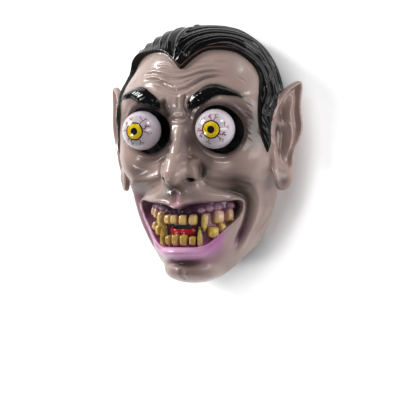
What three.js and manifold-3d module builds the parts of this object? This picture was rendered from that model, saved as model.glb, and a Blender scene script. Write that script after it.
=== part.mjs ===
// A moulded plastic vampire mask, lying face up on its rear rim.
// Millimetres. +X is the wearer's left, +Y the top of the head, +Z the way the face looks.
// z = 0 is the plane of the rear rim, and the origin is under the middle of the mask's box.
import * as THREE from 'three';
import Module from 'manifold-3d';

// ---------------------------------------------------------------- driving sizes
const CROWN_Y = 129;            // skin at the top of the head; the hair adds to it
const CHIN_Y = -134;            // underside of the chin
const AXIS_Z = 20;              // widest plane of the head above the rim
const CORE_Z = 10;              // axis that the surface is measured from
const WALL = 3.0;               // wall of the moulding
const HAIR_LIFT = 4.2;          // hair cap over the skin
const BROW_LIFT = 3.2;          // eyebrows over the skin
const BALL_R = 20;              // eyeballs are 40 mm balls
const BALL_AT = [41.2, 21, 91.3];
const GAZE_OUT = 6 * Math.PI / 180;  // each eye looks a little outwards
const SOCKET_R = 23.2;
const FIT_GAP = 0.3;            // between a ball and the floor of its socket
const SIGHT_HOLE = { r: 4.5, off: 15.5 };
const NOSTRIL = { x: 12.6, y: -30.3, rx: 3.9, ry: 2.6 };
const SLOT = { w: 21, h: 4.2, y: -77 };        // breathing slot over the tongue
const LIP_ROLL = 3.6;
const FOLD_DEPTH = 6.5;         // smile fold beside the muzzle
const GUM = { half: 51.5, deep: 63 };          // floor of the open mouth
const DENTAL = { half: 53.5, deep: 66 };       // arch that the teeth stand on

// ---------------------------------------------------------------- small helpers
const clamp = (v, a, b) => (v < a ? a : v > b ? b : v);
const smooth = (a, b, x) => { const t = clamp((x - a) / (b - a), 0, 1); return t * t * (3 - 2 * t); };
const smin = (a, b, k) => { const h = Math.max(k - Math.abs(a - b), 0) / k; return Math.min(a, b) - h * h * k / 4; };
const smax = (a, b, k) => -smin(-a, -b, k);
const bell = (d, w) => Math.exp(-((d / w) ** 2));

// smooth function through stations
function spline(xs, ys) {
  const n = xs.length, m = [];
  for (let i = 0; i < n; i++) {
    if (i === 0) m.push((ys[1] - ys[0]) / (xs[1] - xs[0]));
    else if (i === n - 1) m.push((ys[n - 1] - ys[n - 2]) / (xs[n - 1] - xs[n - 2]));
    else {
      const a = xs[i] - xs[i - 1], b = xs[i + 1] - xs[i];
      m.push(((ys[i] - ys[i - 1]) / a * b + (ys[i + 1] - ys[i]) / b * a) / (a + b));
    }
  }
  return x => {
    x = clamp(x, xs[0], xs[n - 1]);
    let i = 0; while (i < n - 2 && x > xs[i + 1]) i++;
    const h = xs[i + 1] - xs[i], t = (x - xs[i]) / h;
    return (2 * t ** 3 - 3 * t * t + 1) * ys[i] + (t ** 3 - 2 * t * t + t) * h * m[i]
      + (-2 * t ** 3 + 3 * t * t) * ys[i + 1] + (t ** 3 - t * t) * h * m[i + 1];
  };
}

// about the distance to an ellipsoid
function ellipsoid(x, y, z, c, r) {
  const a = (x - c[0]) / r[0], b = (y - c[1]) / r[1], d = (z - c[2]) / r[2];
  const k0 = Math.hypot(a, b, d) + 1e-9, k1 = Math.hypot(a / r[0], b / r[1], d / r[2]) + 1e-9;
  return k0 * (k0 - 1) / k1;
}

// round bar through [x, y, z, radius]
function bar(x, y, z, pts, k) {
  let best = 1e9;
  for (let i = 0; i < pts.length - 1; i++) {
    const A = pts[i], B = pts[i + 1], dx = B[0] - A[0], dy = B[1] - A[1], dz = B[2] - A[2];
    const t = clamp(((x - A[0]) * dx + (y - A[1]) * dy + (z - A[2]) * dz) / (dx * dx + dy * dy + dz * dz), 0, 1);
    best = smin(best, Math.hypot(x - A[0] - dx * t, y - A[1] - dy * t, z - A[2] - dz * t) - (A[3] + (B[3] - A[3]) * t), k);
  }
  return best;
}

// flat curve on the unrolled face: sampled points, running length and box
function curve(pts, per) {
  const P = [], n = pts.length;
  for (let i = 0; i < n - 1; i++) {
    const a = pts[Math.max(i - 1, 0)], b = pts[i], c = pts[i + 1], d = pts[Math.min(i + 2, n - 1)];
    for (let s = 0; s < per; s++) {
      const t = s / per;
      P.push([0, 1].map(k => 0.5 * (2 * b[k] + (c[k] - a[k]) * t + (2 * a[k] - 5 * b[k] + 4 * c[k] - d[k]) * t * t
        + (3 * b[k] - a[k] - 3 * c[k] + d[k]) * t ** 3)));
    }
  }
  P.push(pts[n - 1].slice());
  const len = [0];
  for (let i = 1; i < P.length; i++) len.push(len[i - 1] + Math.hypot(P[i][0] - P[i - 1][0], P[i][1] - P[i - 1][1]));
  const xs = P.map(p => p[0]), ys = P.map(p => p[1]);
  return { P, len, L: len[len.length - 1], lo: [Math.min(...xs), Math.min(...ys)], hi: [Math.max(...xs), Math.max(...ys)] };
}

// nearest point of a curve: distance d, place along it t (0 to 1), side s
function near(c, u, v, reach) {
  if (u < c.lo[0] - reach || u > c.hi[0] + reach || v < c.lo[1] - reach || v > c.hi[1] + reach) return null;
  let bd = 1e18, bt = 0, bs = 1;
  for (let i = 0; i < c.P.length - 1; i++) {
    const [ax, ay] = c.P[i], dx = c.P[i + 1][0] - ax, dy = c.P[i + 1][1] - ay;
    const t = clamp(((u - ax) * dx + (v - ay) * dy) / (dx * dx + dy * dy + 1e-12), 0, 1);
    const ex = u - ax - dx * t, ey = v - ay - dy * t, d = ex * ex + ey * ey;
    if (d < bd - 1e-12) { bd = d; bt = (c.len[i] + (c.len[i + 1] - c.len[i]) * t) / c.L; bs = dx * ey - dy * ex >= 0 ? 1 : -1; }
  }
  return { d: Math.sqrt(bd), t: bt, s: bs };
}
function inside(P, u, v) {
  let w = false;
  for (let i = 0, j = P.length - 1; i < P.length; j = i++) {
    if ((P[i][1] > v) !== (P[j][1] > v) && u < (P[j][0] - P[i][0]) * (v - P[i][1]) / (P[j][1] - P[i][1]) + P[i][0]) w = !w;
  }
  return w;
}
// millimetres round the face from its middle
const unroll = (x, z) => Math.atan2(x, z - CORE_Z) * 80.2;

// ---------------------------------------------------------------- head
const halfWidth = spline([-134, -118, -105, -90, -75, -53, -38, -5, 20, 54, 90, 134], [48, 49, 51.5, 57, 63.5, 71.5, 76, 81.5, 83, 84, 83, 82]);
const frontDepth = spline([-134, -118, -100, -80, -40, 0, 33, 60, 90, 134], [58, 60, 63, 64, 64, 62, 63, 70, 71, 74]);
const squareness = spline([-134, -90, -40, 0, 60, 100, 134], [2.0, 2.0, 2.2, 2.4, 2.6, 2.45, 2.4]);
const rearTaper = spline([-134, -90, -50, 0, 60, 134], [1.5, 1.5, 1.5, 1.2, 1.9, 2.1]);
function head(x, y, z) {
  const t = clamp((y - 20) / (CROWN_Y - 20), 0, 1), b = clamp((-95 - y) / (-95 - CHIN_Y), 0, 1);
  const dome = Math.max((1 - t ** 2.6 + 1e-9) ** (1 / 2.6) * (1 - b ** 2.4 + 1e-9) ** (1 / 2.4), 0.02);
  const a = halfWidth(y) * dome, d = frontDepth(y) * dome, n = squareness(y);
  const zz = z > AXIS_Z ? z - AXIS_Z : Math.min((AXIS_Z - z) * rearTaper(y), d * 0.8);
  const f = (((x / a) ** n + (zz / d) ** n + 1e-12) ** (1 / n) - 1) * Math.min(a, d);
  const over = Math.max(y - CROWN_Y, CHIN_Y - y);
  return over > 0 ? Math.max(f, over) : f;
}
function arch(x, z, a, d, n) {
  return (((Math.abs(x) / a) ** n + (Math.max(z - AXIS_Z, 0) / d) ** n + 1e-12) ** (1 / n) - 1) * Math.min(a, d);
}
// muzzle: the plateau that carries the grin
const muzzleHalf = spline([-130, -112, -104, -95, -85, -75, -64, -52, -44, -36, -26, -14], [24, 33, 39, 45, 50, 54, 57.5, 60, 59, 48, 30, 20]);
const muzzleFront = spline([-130, -113, -104, -95, -80, -66, -58, -50, -40, -28, -14], [58, 64, 70, 73.5, 76, 77, 78, 77, 75, 73, 66]);
function muzzle(x, y, z) {
  const yy = clamp(y, -124, -20), f = arch(x, z, muzzleHalf(yy), muzzleFront(yy), 2.05), over = Math.max(y + 20, -124 - y);
  return over > 0 ? Math.hypot(Math.max(f, 0), over) : f;
}
// bare skin with its big masses
function skin(x, y, z) {
  let f = head(x, y, z);
  if (f > 45) return f - 22;
  f = smin(f, ellipsoid(x, y, z, [55, -7, 52], [27, 26, 29]), 12);      // cheekbone
  f = smin(f, ellipsoid(x, y, z, [64, 32, 48], [21, 42, 27]), 14);      // outer rim of the orbit
  f = smin(f, ellipsoid(x, y, z, [34, 52, 68], [36, 15, 22]), 12);      // brow bone
  f = smin(f, ellipsoid(x, y, z, [0, 50, 70], [24, 18, 21]), 12);       // between the brows
  f = smin(f, muzzle(x, y, z), 5);
  f = smin(f, bar(x, y, z, [[0, 34, 76, 9], [0, 16, 83, 9], [0, 0, 89, 9.5], [0, -14, 94, 11]], 5), 7);  // bridge
  f = smin(f, ellipsoid(x, y, z, [0, -25, 97.5], [13.5, 12.5, 13.5]), 5);   // tip of the nose
  f = smin(f, ellipsoid(x, y, z, [12.5, -19, 87], [9, 13, 11]), 3.5);       // wings of the nose
  return smin(f, ellipsoid(x, y, z, [0, -121, 57], [29, 14, 24]), 9);       // chin
}

// outlines on the unrolled face (round the face, up), wearer's left half
const foldLine = curve([[22, -25], [40, -31.5], [57, -36], [71, -42], [78, -50], [80, -62], [76, -77], [68, -89], [60, -99], [52, -108]], 5);
const mouthLine = curve([[0, -59], [5, -57.5], [11, -55], [24, -53], [42, -52], [56, -51], [65, -50], [68.5, -53], [66, -58], [60, -64], [54, -70.5], [45, -80.5], [36, -90], [27, -95.4], [18, -97.6], [0, -97.8]], 3);
const mouthArea = [...mouthLine.P, [-40, -97.8], [-40, -59]];
const lipLine = curve([[0, -103.5], [12, -103.8], [22, -103], [31, -98.5], [40, -90.5], [50, -79.5], [60, -67.5], [67, -58.5]], 4);
const hairEdge = spline([0, 4, 9, 16, 26, 38, 53, 63, 72, 76.2, 76.6, 76.9, 77.6, 79.5, 84, 86.5, 88, 90, 95, 104, 118, 140, 180],
  [82.5, 84.5, 89, 94.5, 100, 102, 101.2, 98.8, 93, 84, 60, 36, 23, 10, -2.5, 5, 20, 38, 52, 66, 77, 86, 92]);
// brow: stations along it, [round the face, lower edge, upper edge]
const BROW = [[10.6, 43, 47], [14, 42.3, 54], [19, 42.8, 58.6], [24, 45.2, 62.2], [30, 49, 65.6], [36.5, 52.8, 66.9], [44, 54.6, 65.4], [51, 54.2, 61.8], [57, 53.2, 57.4], [61, 51.6, 52.8]];

const SEAT = BALL_R + FIT_GAP + 0.35;          // from a ball's centre back to the floor of its socket
const gumDeep = y => GUM.deep - 0.05 * Math.max(0, -60 - y);

// distance from a gaze axis, and how far along it from the ball's centre
function gaze(x, y, z) {
  const dx = x - BALL_AT[0], dy = y - BALL_AT[1], dz = z - BALL_AT[2];
  const along = dx * Math.sin(GAZE_OUT) + dz * Math.cos(GAZE_OUT);
  return [Math.sqrt(Math.max(dx * dx + dy * dy + dz * dz - along * along, 0)), along];
}

// the modelled face without hair, brows, mouth and sockets: negative inside
function face(X, y, z) {
  const x = Math.abs(X);
  let f = skin(x, y, z);
  if (f > 12) return f - 7;
  const u = unroll(x, z);
  const fold = near(foldLine, u, y, 26);
  if (fold && fold.d < 26) {
    const s = -fold.s * fold.d, e = smooth(0, 0.12, fold.t) * smooth(1, 0.86, fold.t);
    f += e * (FOLD_DEPTH * bell(s - 8, 6.5) - 1.8 * bell(s + 3, 4.5));
  }
  const [r, along] = gaze(x, y, z);
  f -= 1.6 * bell(r - 27.5, 3.5) * smooth(-30, -10, along);                 // lids
  const lip = near(lipLine, u, y, 12);
  if (lip && lip.d < 12) f -= LIP_ROLL * (1 - 0.75 * lip.t) * bell(lip.d, 4.9);
  f += 3.0 * bell(y + 114.5, 3.2) * smooth(34, 14, u);                      // step over the chin
  return f;
}

// ---------------------------------------------------------------- solids from grids
const wasm = await Module();
wasm.setup();
function solid(verts, tris) {
  const m = new wasm.Mesh({ numProp: 3, vertProperties: new Float32Array(verts.flat()), triVerts: new Uint32Array(tris.flat()) });
  return new wasm.Manifold(m);
}

// rows run from the chin over the face to the crown, columns round the head
function stations(marks) {          // [[from, to, count], ...]
  const out = [];
  marks.forEach(([a, b, n], k) => { for (let i = k ? 1 : 0; i <= n; i++) out.push(a + (b - a) * i / n); });
  return out;
}
const ROW_LO = -96, ROW_HI = 98;
const rows = [
  ...stations([[-86, -14, 5]]).map(e => ({ y: ROW_LO, tilt: e * Math.PI / 180 })),
  ...stations([[ROW_LO, -40, 12], [-40, 0, 10], [0, 70, 14], [70, ROW_HI, 5]]).map(y => ({ y, tilt: 0 })),
  ...stations([[14, 86, 6]]).map(e => ({ y: ROW_HI, tilt: e * Math.PI / 180 })),
];
const half = stations([[0, 72, 16], [72, 96, 4], [96, 170, 5]]).map(u => u / 80.2);
const cols = [...half.slice(1).reverse().map(v => -v), ...half];
const ray = (row, phi) => [Math.cos(row.tilt) * Math.sin(phi), Math.sin(row.tilt), Math.cos(row.tilt) * Math.cos(phi)];
function reach(row, phi, field) {   // from the axis out to the surface
  const d = ray(row, phi);
  const at = t => field(d[0] * t, row.y + d[1] * t, CORE_Z + d[2] * t);
  let hi = 150;
  while (hi > 10 && at(hi) > 0) hi -= 1.5;
  let lo = hi; hi += 1.5;
  for (let i = 0; i < 14; i++) { const m = (lo + hi) / 2; if (at(m) < 0) lo = m; else hi = m; }
  return lo;
}
const spot = (row, phi, t) => { const d = ray(row, phi); return [d[0] * t, row.y + d[1] * t, CORE_Z + d[2] * t]; };

// closed body: the grid, a straight back wall under it and two end fans
function body(points) {
  const V = [], T = [], nr = points.length, nc = points[0].length, back = -34;
  const id = (i, j) => i * (nc + 1) + j;
  points.forEach(line => {
    line.forEach(([x, y, z], j) => V.push([x, y, Math.max(z, back + 0.02 * Math.abs(j - (nc - 1) / 2))]));
    V.push([0, line[nc - 1][1], back - 4]);
  });
  for (let i = 0; i < nr - 1; i++) for (let j = 0; j <= nc; j++) {
    const a = id(i, j), b = id(i, (j + 1) % (nc + 1)), c = id(i + 1, (j + 1) % (nc + 1)), d = id(i + 1, j);
    const one = Math.hypot(V[a][0] - V[c][0], V[a][1] - V[c][1], V[a][2] - V[c][2]), two = Math.hypot(V[b][0] - V[d][0], V[b][1] - V[d][1], V[b][2] - V[d][2]);
    if (one <= two) T.push([a, b, c], [a, c, d]); else T.push([a, b, d], [b, c, d]);
  }
  for (const [i, flip] of [[0, true], [nr - 1, false]]) {
    const row = Array.from({ length: nc + 1 }, (_, j) => V[id(i, j)]);
    const mid = [0, 1, 2].map(k => row.reduce((s, v) => s + v[k], 0) / row.length);
    mid[1] += flip ? -0.5 : 0.5;
    const k = V.push(mid) - 1;
    for (let j = 0; j <= nc; j++) {
      const a = id(i, j), b = id(i, (j + 1) % (nc + 1));
      T.push(flip ? [k, b, a] : [k, a, b]);
    }
  }
  return solid(V, T);
}
const outer = body(rows.map(row => cols.map(phi => spot(row, phi, reach(row, phi, face)))));

// the hollow follows the outside a wall's thickness behind it: on each line the first spot
// that is at least that far from every spot of the outside
const cloud = [];
for (const row of rows) for (const phi of cols) for (const off of [0, 0.028]) cloud.push(spot(row, phi + off, reach(row, phi + off, face)));
const CELL = 8, bins = new Map();
for (const c of cloud) { const k = c.map(v => Math.floor(v / CELL)).join(); if (!bins.has(k)) bins.set(k, []); bins.get(k).push(c); }
function clear(x, y, z, far) {
  const [i, j, k] = [x, y, z].map(v => Math.floor(v / CELL));
  for (let a = -1; a <= 1; a++) for (let b = -1; b <= 1; b++) for (let c = -1; c <= 1; c++) {
    for (const q of bins.get([i + a, j + b, k + c].join()) ?? []) if (Math.hypot(q[0] - x, q[1] - y, q[2] - z) < far) return false;
  }
  return true;
}
const innerRows = rows.filter((_, i) => i % 2 === 0 || i === rows.length - 1), innerCols = cols.filter((_, j) => j % 2 === 0);
const innerR = innerRows.map(row => innerCols.map(phi => {
  const d = ray(row, phi);
  let t = reach(row, phi, face) - WALL;
  while (t > 12 && !clear(d[0] * t, row.y + d[1] * t, CORE_Z + d[2] * t, WALL * 1.1)) t -= 0.5;
  return t;
}));
const eased = innerR.map((line, i) => line.map((r, j) => {
  let sum = 0, w = 0;
  for (let a = -1; a <= 1; a++) for (let b = -1; b <= 1; b++) {
    const q = innerR[clamp(i + a, 0, innerRows.length - 1)][clamp(j + b, 0, innerCols.length - 1)], k = a || b ? 1 : 2;
    sum += q * k; w += k;
  }
  return Math.min(r, sum / w + 0.4);
}));
// and the middle of each facet and edge keeps clear too
for (let pass = 0; pass < 14; pass++) {
  let moved = 0;
  for (let i = 0; i < innerRows.length - 1; i++) for (let j = 0; j < innerCols.length - 1; j++) {
    const q = [[i, j], [i, j + 1], [i + 1, j], [i + 1, j + 1]], P = q.map(([a, b]) => spot(innerRows[a], innerCols[b], eased[a][b]));
    for (const set of [[0, 1, 2, 3], [0, 1], [0, 2], [1, 3], [2, 3]]) {
      const m = [0, 1, 2].map(k => set.reduce((sum, c) => sum + P[c][k], 0) / set.length);
      if (m[2] < -8 || (face(m[0], m[1], m[2]) < -WALL * 0.5 && clear(m[0], m[1], m[2], WALL * 0.93))) continue;
      for (const c of set) eased[q[c][0]][q[c][1]] = Math.max(eased[q[c][0]][q[c][1]] - 0.6, 8);
      moved++;
    }
  }
  if (!moved) break;
}
const inner = body(innerRows.map((row, i) => innerCols.map((phi, j) => spot(row, phi, eased[i][j]))));

// block between two heights and two depths, in columns round the face
function fan(us, low, high, deep, out, n) {
  const V = [], T = [], w = us.length, id = (layer, j, k) => layer * w * (n + 1) + j * (n + 1) + k;
  for (const r of [deep, out]) for (const u of us) for (let k = 0; k <= n; k++) {
    const y = low(u) + (high(u) - low(u)) * k / n, t = r(u, y);
    V.push([Math.sin(u / 80.2) * t, y, CORE_Z + Math.cos(u / 80.2) * t]);
  }
  for (let j = 0; j < w - 1; j++) {
    for (let k = 0; k < n; k++) {
      const q = l => [id(l, j, k), id(l, j + 1, k), id(l, j + 1, k + 1), id(l, j, k + 1)], [a, b, c, d] = q(1), [e, f, g, h] = q(0);
      T.push([a, b, c], [a, c, d], [e, g, f], [e, h, g]);
    }
    for (const k of [0, n]) {
      const a = id(0, j, k), b = id(0, j + 1, k), c = id(1, j + 1, k), d = id(1, j, k);
      T.push(...(k ? [[a, c, b], [a, d, c]] : [[a, b, c], [a, c, d]]));
    }
  }
  for (const j of [0, w - 1]) for (let k = 0; k < n; k++) {
    const a = id(0, j, k), b = id(0, j, k + 1), c = id(1, j, k + 1), d = id(1, j, k);
    T.push(...(j ? [[a, b, c], [a, c, d]] : [[a, c, b], [a, d, c]]));
  }
  return solid(V, T);
}

// plain closed block from two loops of the same length
function loft(loops) {
  const n = loops[0].length, V = loops.flat(), T = [];
  for (let k = 0; k < loops.length - 1; k++) for (let i = 0; i < n; i++) {
    const a = k * n + i, b = k * n + (i + 1) % n;
    T.push([a, b, b + n], [a, b + n, a + n]);
  }
  for (let i = 1; i < n - 1; i++) { T.push([0, i + 1, i]); const o = (loops.length - 1) * n; T.push([o, o + i, o + i + 1]); }
  const s = solid(V, T);
  return s;
}
// round or oval cutter along a line
function plug(from, to, side, up, n = 14) {
  return loft([from, to].map(c => Array.from({ length: n }, (_, i) => {
    const a = i / n * 2 * Math.PI;
    return c.map((v, k) => v + side[k] * Math.cos(a) + up[k] * Math.sin(a));
  })));
}

// the open mouth, cut back to the gums: columns round the face between its two lips
const lipTop = spline([0, 5, 11, 24, 42, 56, 65, 68.4], [-59, -57.5, -55, -53, -52, -51, -50.2, -53.2]);
const lipLow = spline([0, 18, 27, 36, 45, 54, 60, 66, 68.4], [-97.8, -97.6, -95.4, -90, -80.5, -70.5, -64, -58, -54]);
const gumAt = grow => (u, y) => {
  const s = Math.sin(u / 80.2), c = Math.cos(u / 80.2);
  let lo = 10, hi = 120;
  for (let i = 0; i < 18; i++) { const t = (lo + hi) / 2; if (arch(s * t, CORE_Z + c * t, GUM.half, gumDeep(y), 2) < 0) lo = t; else hi = t; }
  return lo - grow;
};
const mouthBlock = grow => {
  const e = 68.4, k = (e + grow) / e;
  const us = stations([[-68.4, -56, 3], [-56, 56, grow ? 14 : 22], [56, 68.4, 3]]).map(u => u * k);
  return fan(us, u => lipLow(Math.abs(u) / k) - grow, u => lipTop(Math.abs(u) / k) + grow, gumAt(grow), () => 125, grow ? 3 : 5);
};

// rear edge: flat at z = 0, rising along the jaw to the chin
const rimZ = spline([-140, -134, -128, -119, -105, -97, -90, -84, -70, 140], [46, 45, 42.5, 39.5, 31, 19, 6, 0, 0, 0]);
const rimStations = [...stations([[-150, -136, 1], [-136, -84, 13]]), 160];
const rimCutter = loft([-140, 140].map(x => [[x, 160, -80], ...[...rimStations].reverse().map(y => [x, y, rimZ(y)]), [x, -150, -80]].map(p => p)));

// ---------------------------------------------------------------- teeth
// [middle across the arch, root y, tip y, width, stand out]
const TEETH = [
  [-13, -62, -74.5, 7.6, 3.0], [-4.5, -62, -74.8, 7.8, 3.2], [4.5, -62, -75, 8.2, 3.3], [14, -61.5, -75, 9, 3.3],
  [24.6, -60.5, -84, 8.2, 4.2], [-24.8, -59.5, -86, 8.0, 4.2],
  [33.6, -58.5, -73.5, 9.2, 4.0], [41.2, -56.5, -71, 7.6, 3.8], [-33.8, -57, -71, 8.4, 3.8], [-41, -55, -68, 7.4, 3.6],
  [-13, -97, -88, 7.0, 2.6], [-4.5, -97, -87.6, 7.2, 2.8], [4.5, -97.2, -87.6, 7.6, 2.8], [13, -97, -88, 7.2, 2.6],
  [20.8, -98, -79, 7.6, 3.8], [-21, -98, -76, 7.2, 3.8],
  [29.5, -93, -83.5, 8.6, 3.8], [37.2, -85, -75.5, 6.4, 3.6], [-30, -91, -81, 7.6, 3.6], [-37.5, -83, -74, 6.4, 3.4],
];
function tooth([tx, root, tip, width, out]) {
  const w = DENTAL.deep * Math.sqrt(1 - (tx / DENTAL.half) ** 2);
  const nx = tx / DENTAL.half ** 2, nz = w / DENTAL.deep ** 2, l = Math.hypot(nx, nz), N = [nx / l, 0, nz / l], S = [N[2], 0, -N[0]];
  const fang = Math.abs(tip - root) > 16, loops = [], n = 7;
  const cuts = fang ? [[0, 1], [0.4, 0.95], [0.8, 0.5], [1, 0.1]] : [[0, 0.95], [0.7, 1], [0.93, 0.75], [1, 0.4]];
  for (const [t, k] of cuts) {
    const y = root + (tip - root) * t;
    loops.push(Array.from({ length: n }, (_, i) => {
      const a = (i + 0.25) / n * 2 * Math.PI, c = Math.cos(a), s = Math.sin(a);
      const side = Math.sign(c) * Math.abs(c) ** 0.7 * width / 2 * k, o = Math.sign(s) * Math.abs(s) ** 0.7 * (s > 0 ? out * (0.6 + 0.4 * k) : 6.5);
      return [tx + N[0] * o + S[0] * side, y, AXIS_Z + w + N[2] * o + S[2] * side];
    }));
  }
  // keep the faces pointing outwards whichever way the tooth grows
  return loft(tip < root ? loops.map(l2 => [...l2]) : loops.map(l2 => [...l2].reverse()));
}
// tongue: a low bar across the floor of the mouth
const tonguePts = stations([[-15, 15, 6]]);
const tongue = loft(tonguePts.map((x, k) => {
  const n = 8, e = 1 - 0.55 * (Math.abs(x) / 15) ** 3, z = AXIS_Z + (GUM.deep - 2.5) * Math.sqrt(1 - (x / 60) ** 2);
  return Array.from({ length: n }, (_, i) => { const a = i / n * 2 * Math.PI; return [x, -83 + 3.6 * e * Math.cos(a), z - 0.5 + 3.4 * e * Math.sin(a)]; });
}));

// ---------------------------------------------------------------- ears
const EAR = { at: [84, 54], e: [0.567, -0.824], n: [0.824, 0.567] };   // (x, z) of the root, along, and out of the plate
const earLine = curve([[-6, 40], [3, 38], [7, 43.5], [12, 52], [17, 60.5], [23, 67.5], [31, 72], [38.5, 74.5], [40.6, 70], [40.6, 60], [40.8, 48], [41.3, 34], [40.2, 20], [36.5, 9.5], [32.2, 2], [30, -8], [29.9, -20], [28.9, -29], [25.5, -35.5], [18.5, -39.3], [12, -38.2], [8.4, -33], [7.2, -24], [6, -13], [2, -4], [-5, 0], [-6, 20], [-6, 40]], 1);
function earFront(p, y, d) {
  let q = 1.6 + 1.3 * bell(d - 2.2, 2.0);
  q -= 2.6 * smooth(2.5, 6.5, d) * (0.45 + 0.55 * smooth(46, 30, y)) * smooth(-30, -12, y);
  q += 2.4 * bell(p - 27.5 + Math.max(0, y - 34) * 0.12, 3.4) * smooth(-6, 8, y) * smooth(52, 38, y);
  q -= 6.0 * Math.exp(-(((p - 15.5) / 6.5) ** 2) - (((y - 16) / 20) ** 2));
  q += 2.6 * Math.exp(-(((p - 9.5) / 3) ** 2) - (((y + 2) / 6) ** 2));
  return q + 1.2 * smooth(-14, -26, y);
}
const earBend = p => 0.004 * Math.max(p - 10, 0) ** 2;
function earBack(p, y, d) {
  return -2.2 - 1.8 * smooth(0, 9, d) - 3.0 * Math.exp(-(((p - 15.5) / 8) ** 2) - (((y - 16) / 22) ** 2));
}
function earSolid(sign) {
  const ring = earLine.P.slice(0, -1), n = ring.length, mid = [17, 16], V = [], T = [];
  const put = (p, y, q) => V.push([sign * (EAR.at[0] + EAR.e[0] * p + EAR.n[0] * q), y, EAR.at[1] + EAR.e[1] * p + EAR.n[1] * q]) - 1;
  const level = (k, fn) => ring.map(([p, y]) => {
    const pp = mid[0] + (p - mid[0]) * k, cy = clamp(y, -30, 64) * (1 - k) * 0.85 + mid[1] * 0, yy = y * k + cy;
    const m = near(earLine, pp, yy, 40); return put(pp, yy, fn(pp, yy, m ? m.d : 9) + earBend(pp));
  });
  const edge = ring.map(([p, y]) => put(p, y, -0.4 + earBend(p)));
  const front = [0.93, 0.78, 0.55, 0.28].map(k => level(k, earFront)), rear = [0.93, 0.6].map(k => level(k, earBack));
  const strip = (A, B) => { for (let i = 0; i < n; i++) { const j = (i + 1) % n; T.push([A[i], A[j], B[j]], [A[i], B[j], B[i]]); } };
  const close = (A, fn) => { // zip the last ring shut across its narrow way
    const k = V.push(A.map(i => V[i]).reduce((s, v) => s.map((c, q) => c + v[q] / A.length), [0, 0, 0])) - 1;
    for (let i = 0; i < n; i++) T.push([A[i], A[(i + 1) % n], k]);
  };
  [edge, ...front].forEach((r, i, all) => { if (i) strip(all[i - 1], r); });
  close(front[front.length - 1]);
  const frontTris = T.splice(0);
  [edge, ...rear].forEach((r, i, all) => { if (i) strip(all[i - 1], r); });
  close(rear[rear.length - 1]);
  const rearTris = T.map(t => [t[0], t[2], t[1]]);
  let tris = [...frontTris, ...rearTris];
  if (sign > 0) tris = tris.map(t => [t[0], t[2], t[1]]);
  return solid(V, tris);
}
// closed ball with given half axes
function blob(c, r, w, h) {
  const V = [[c[0], c[1] - r[1], c[2]]], T = [];
  for (let i = 1; i < h; i++) for (let j = 0; j < w; j++) {
    const e = -Math.PI / 2 + Math.PI * i / h, a = 2 * Math.PI * j / w;
    V.push([c[0] + r[0] * Math.cos(e) * Math.sin(a), c[1] + r[1] * Math.sin(e), c[2] + r[2] * Math.cos(e) * Math.cos(a)]);
  }
  const top = V.push([c[0], c[1] + r[1], c[2]]) - 1, at = (i, j) => 1 + (i - 1) * w + j % w;
  for (let j = 0; j < w; j++) { T.push([0, at(1, j + 1), at(1, j)], [top, at(h - 1, j), at(h - 1, j + 1)]); }
  for (let i = 1; i < h - 1; i++) for (let j = 0; j < w; j++) T.push([at(i, j), at(i, j + 1), at(i + 1, j + 1)], [at(i, j), at(i + 1, j + 1), at(i + 1, j)]);
  return solid(V, T);
}

// ---------------------------------------------------------------- the shell
// hair: a thicker skin over the head, kept behind the hairline
const lifted = body(rows.map(row => cols.map(phi => spot(row, phi, reach(row, phi, face) + HAIR_LIFT))));
const behindHairline = fan(
  stations([[-170, -96, 12], [-96, -72, 16], [-72, 0, 14], [0, 72, 14], [72, 96, 16], [96, 170, 12]]),
  u => hairEdge(Math.abs(u)), () => 165, () => 0.6, () => 160, 1,
).add(loft([90, 165].map(y => [[-14, y, -6], [-14, y, 26], [14, y, 26], [14, y, -6]])));
let shell = outer.add(lifted.intersect(behindHairline));

// brows: raised bars with bevelled edges; the wearer's right one sits wider
for (const s of [-1, 1]) {
  const loops = BROW.map(([u0, lo, hi]) => {
    const u = s < 0 ? u0 * 1.08 + 8 : u0, mid = (lo + hi) / 2, h = (hi - lo) / 2;
    return [[-1, -3], [-0.85, 0.75], [-0.3, 1], [0.3, 1], [0.85, 0.75], [1, -3]].map(([v, lift]) => {
      const row = { y: mid + h * v, tilt: 0 }, t = reach(row, s * u / 80.2, face);
      return spot(row, s * u / 80.2, t + (lift > 0 ? BROW_LIFT * lift : lift));
    });
  });
  shell = shell.add(loft(s > 0 ? loops.map(l => [...l].reverse()) : loops));
}

// ears on their rounded roots
for (const s of [-1, 1]) {
  const earPlate = earSolid(s);
  const root = blob([s * 80, 4, 31], [14, 33, 19], 12, 7);
  shell = shell.add(root).add(earPlate);
}

// hollow it out, leaving a wall behind the mouth and round each socket
const cup = (s, grow) => {
  const ax = [s * Math.sin(GAZE_OUT), 0, Math.cos(GAZE_OUT)], at = k => BALL_AT.map((v, i) => (i ? v : s * v) + ax[i] * k), R = SOCKET_R + grow;
  return plug(at(-SEAT - grow), at(grow ? 5 : 45), [R * ax[2], 0, -R * ax[0]], [0, R, 0], 30);
};
let walls = mouthBlock(WALL);
for (const s of [-1, 1]) walls = walls.add(cup(s, WALL));
walls = walls.intersect(outer);
shell = shell.subtract(inner).add(walls).subtract(mouthBlock(0));
for (const s of [-1, 1]) shell = shell.subtract(cup(s, 0));
for (const t of TEETH) shell = shell.add(tooth(t));
shell = shell.add(tongue);
const slotZ = AXIS_Z + GUM.deep;
shell = shell.subtract(loft([slotZ - 22, slotZ + 0.8].map(z => Array.from({ length: 16 }, (_, i) => {
  const a = i / 16 * 2 * Math.PI;
  return [Math.sign(Math.cos(a)) * Math.abs(Math.cos(a)) ** 0.5 * SLOT.w / 2, SLOT.y + Math.sin(a) * SLOT.h / 2, z];
}))));
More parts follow.
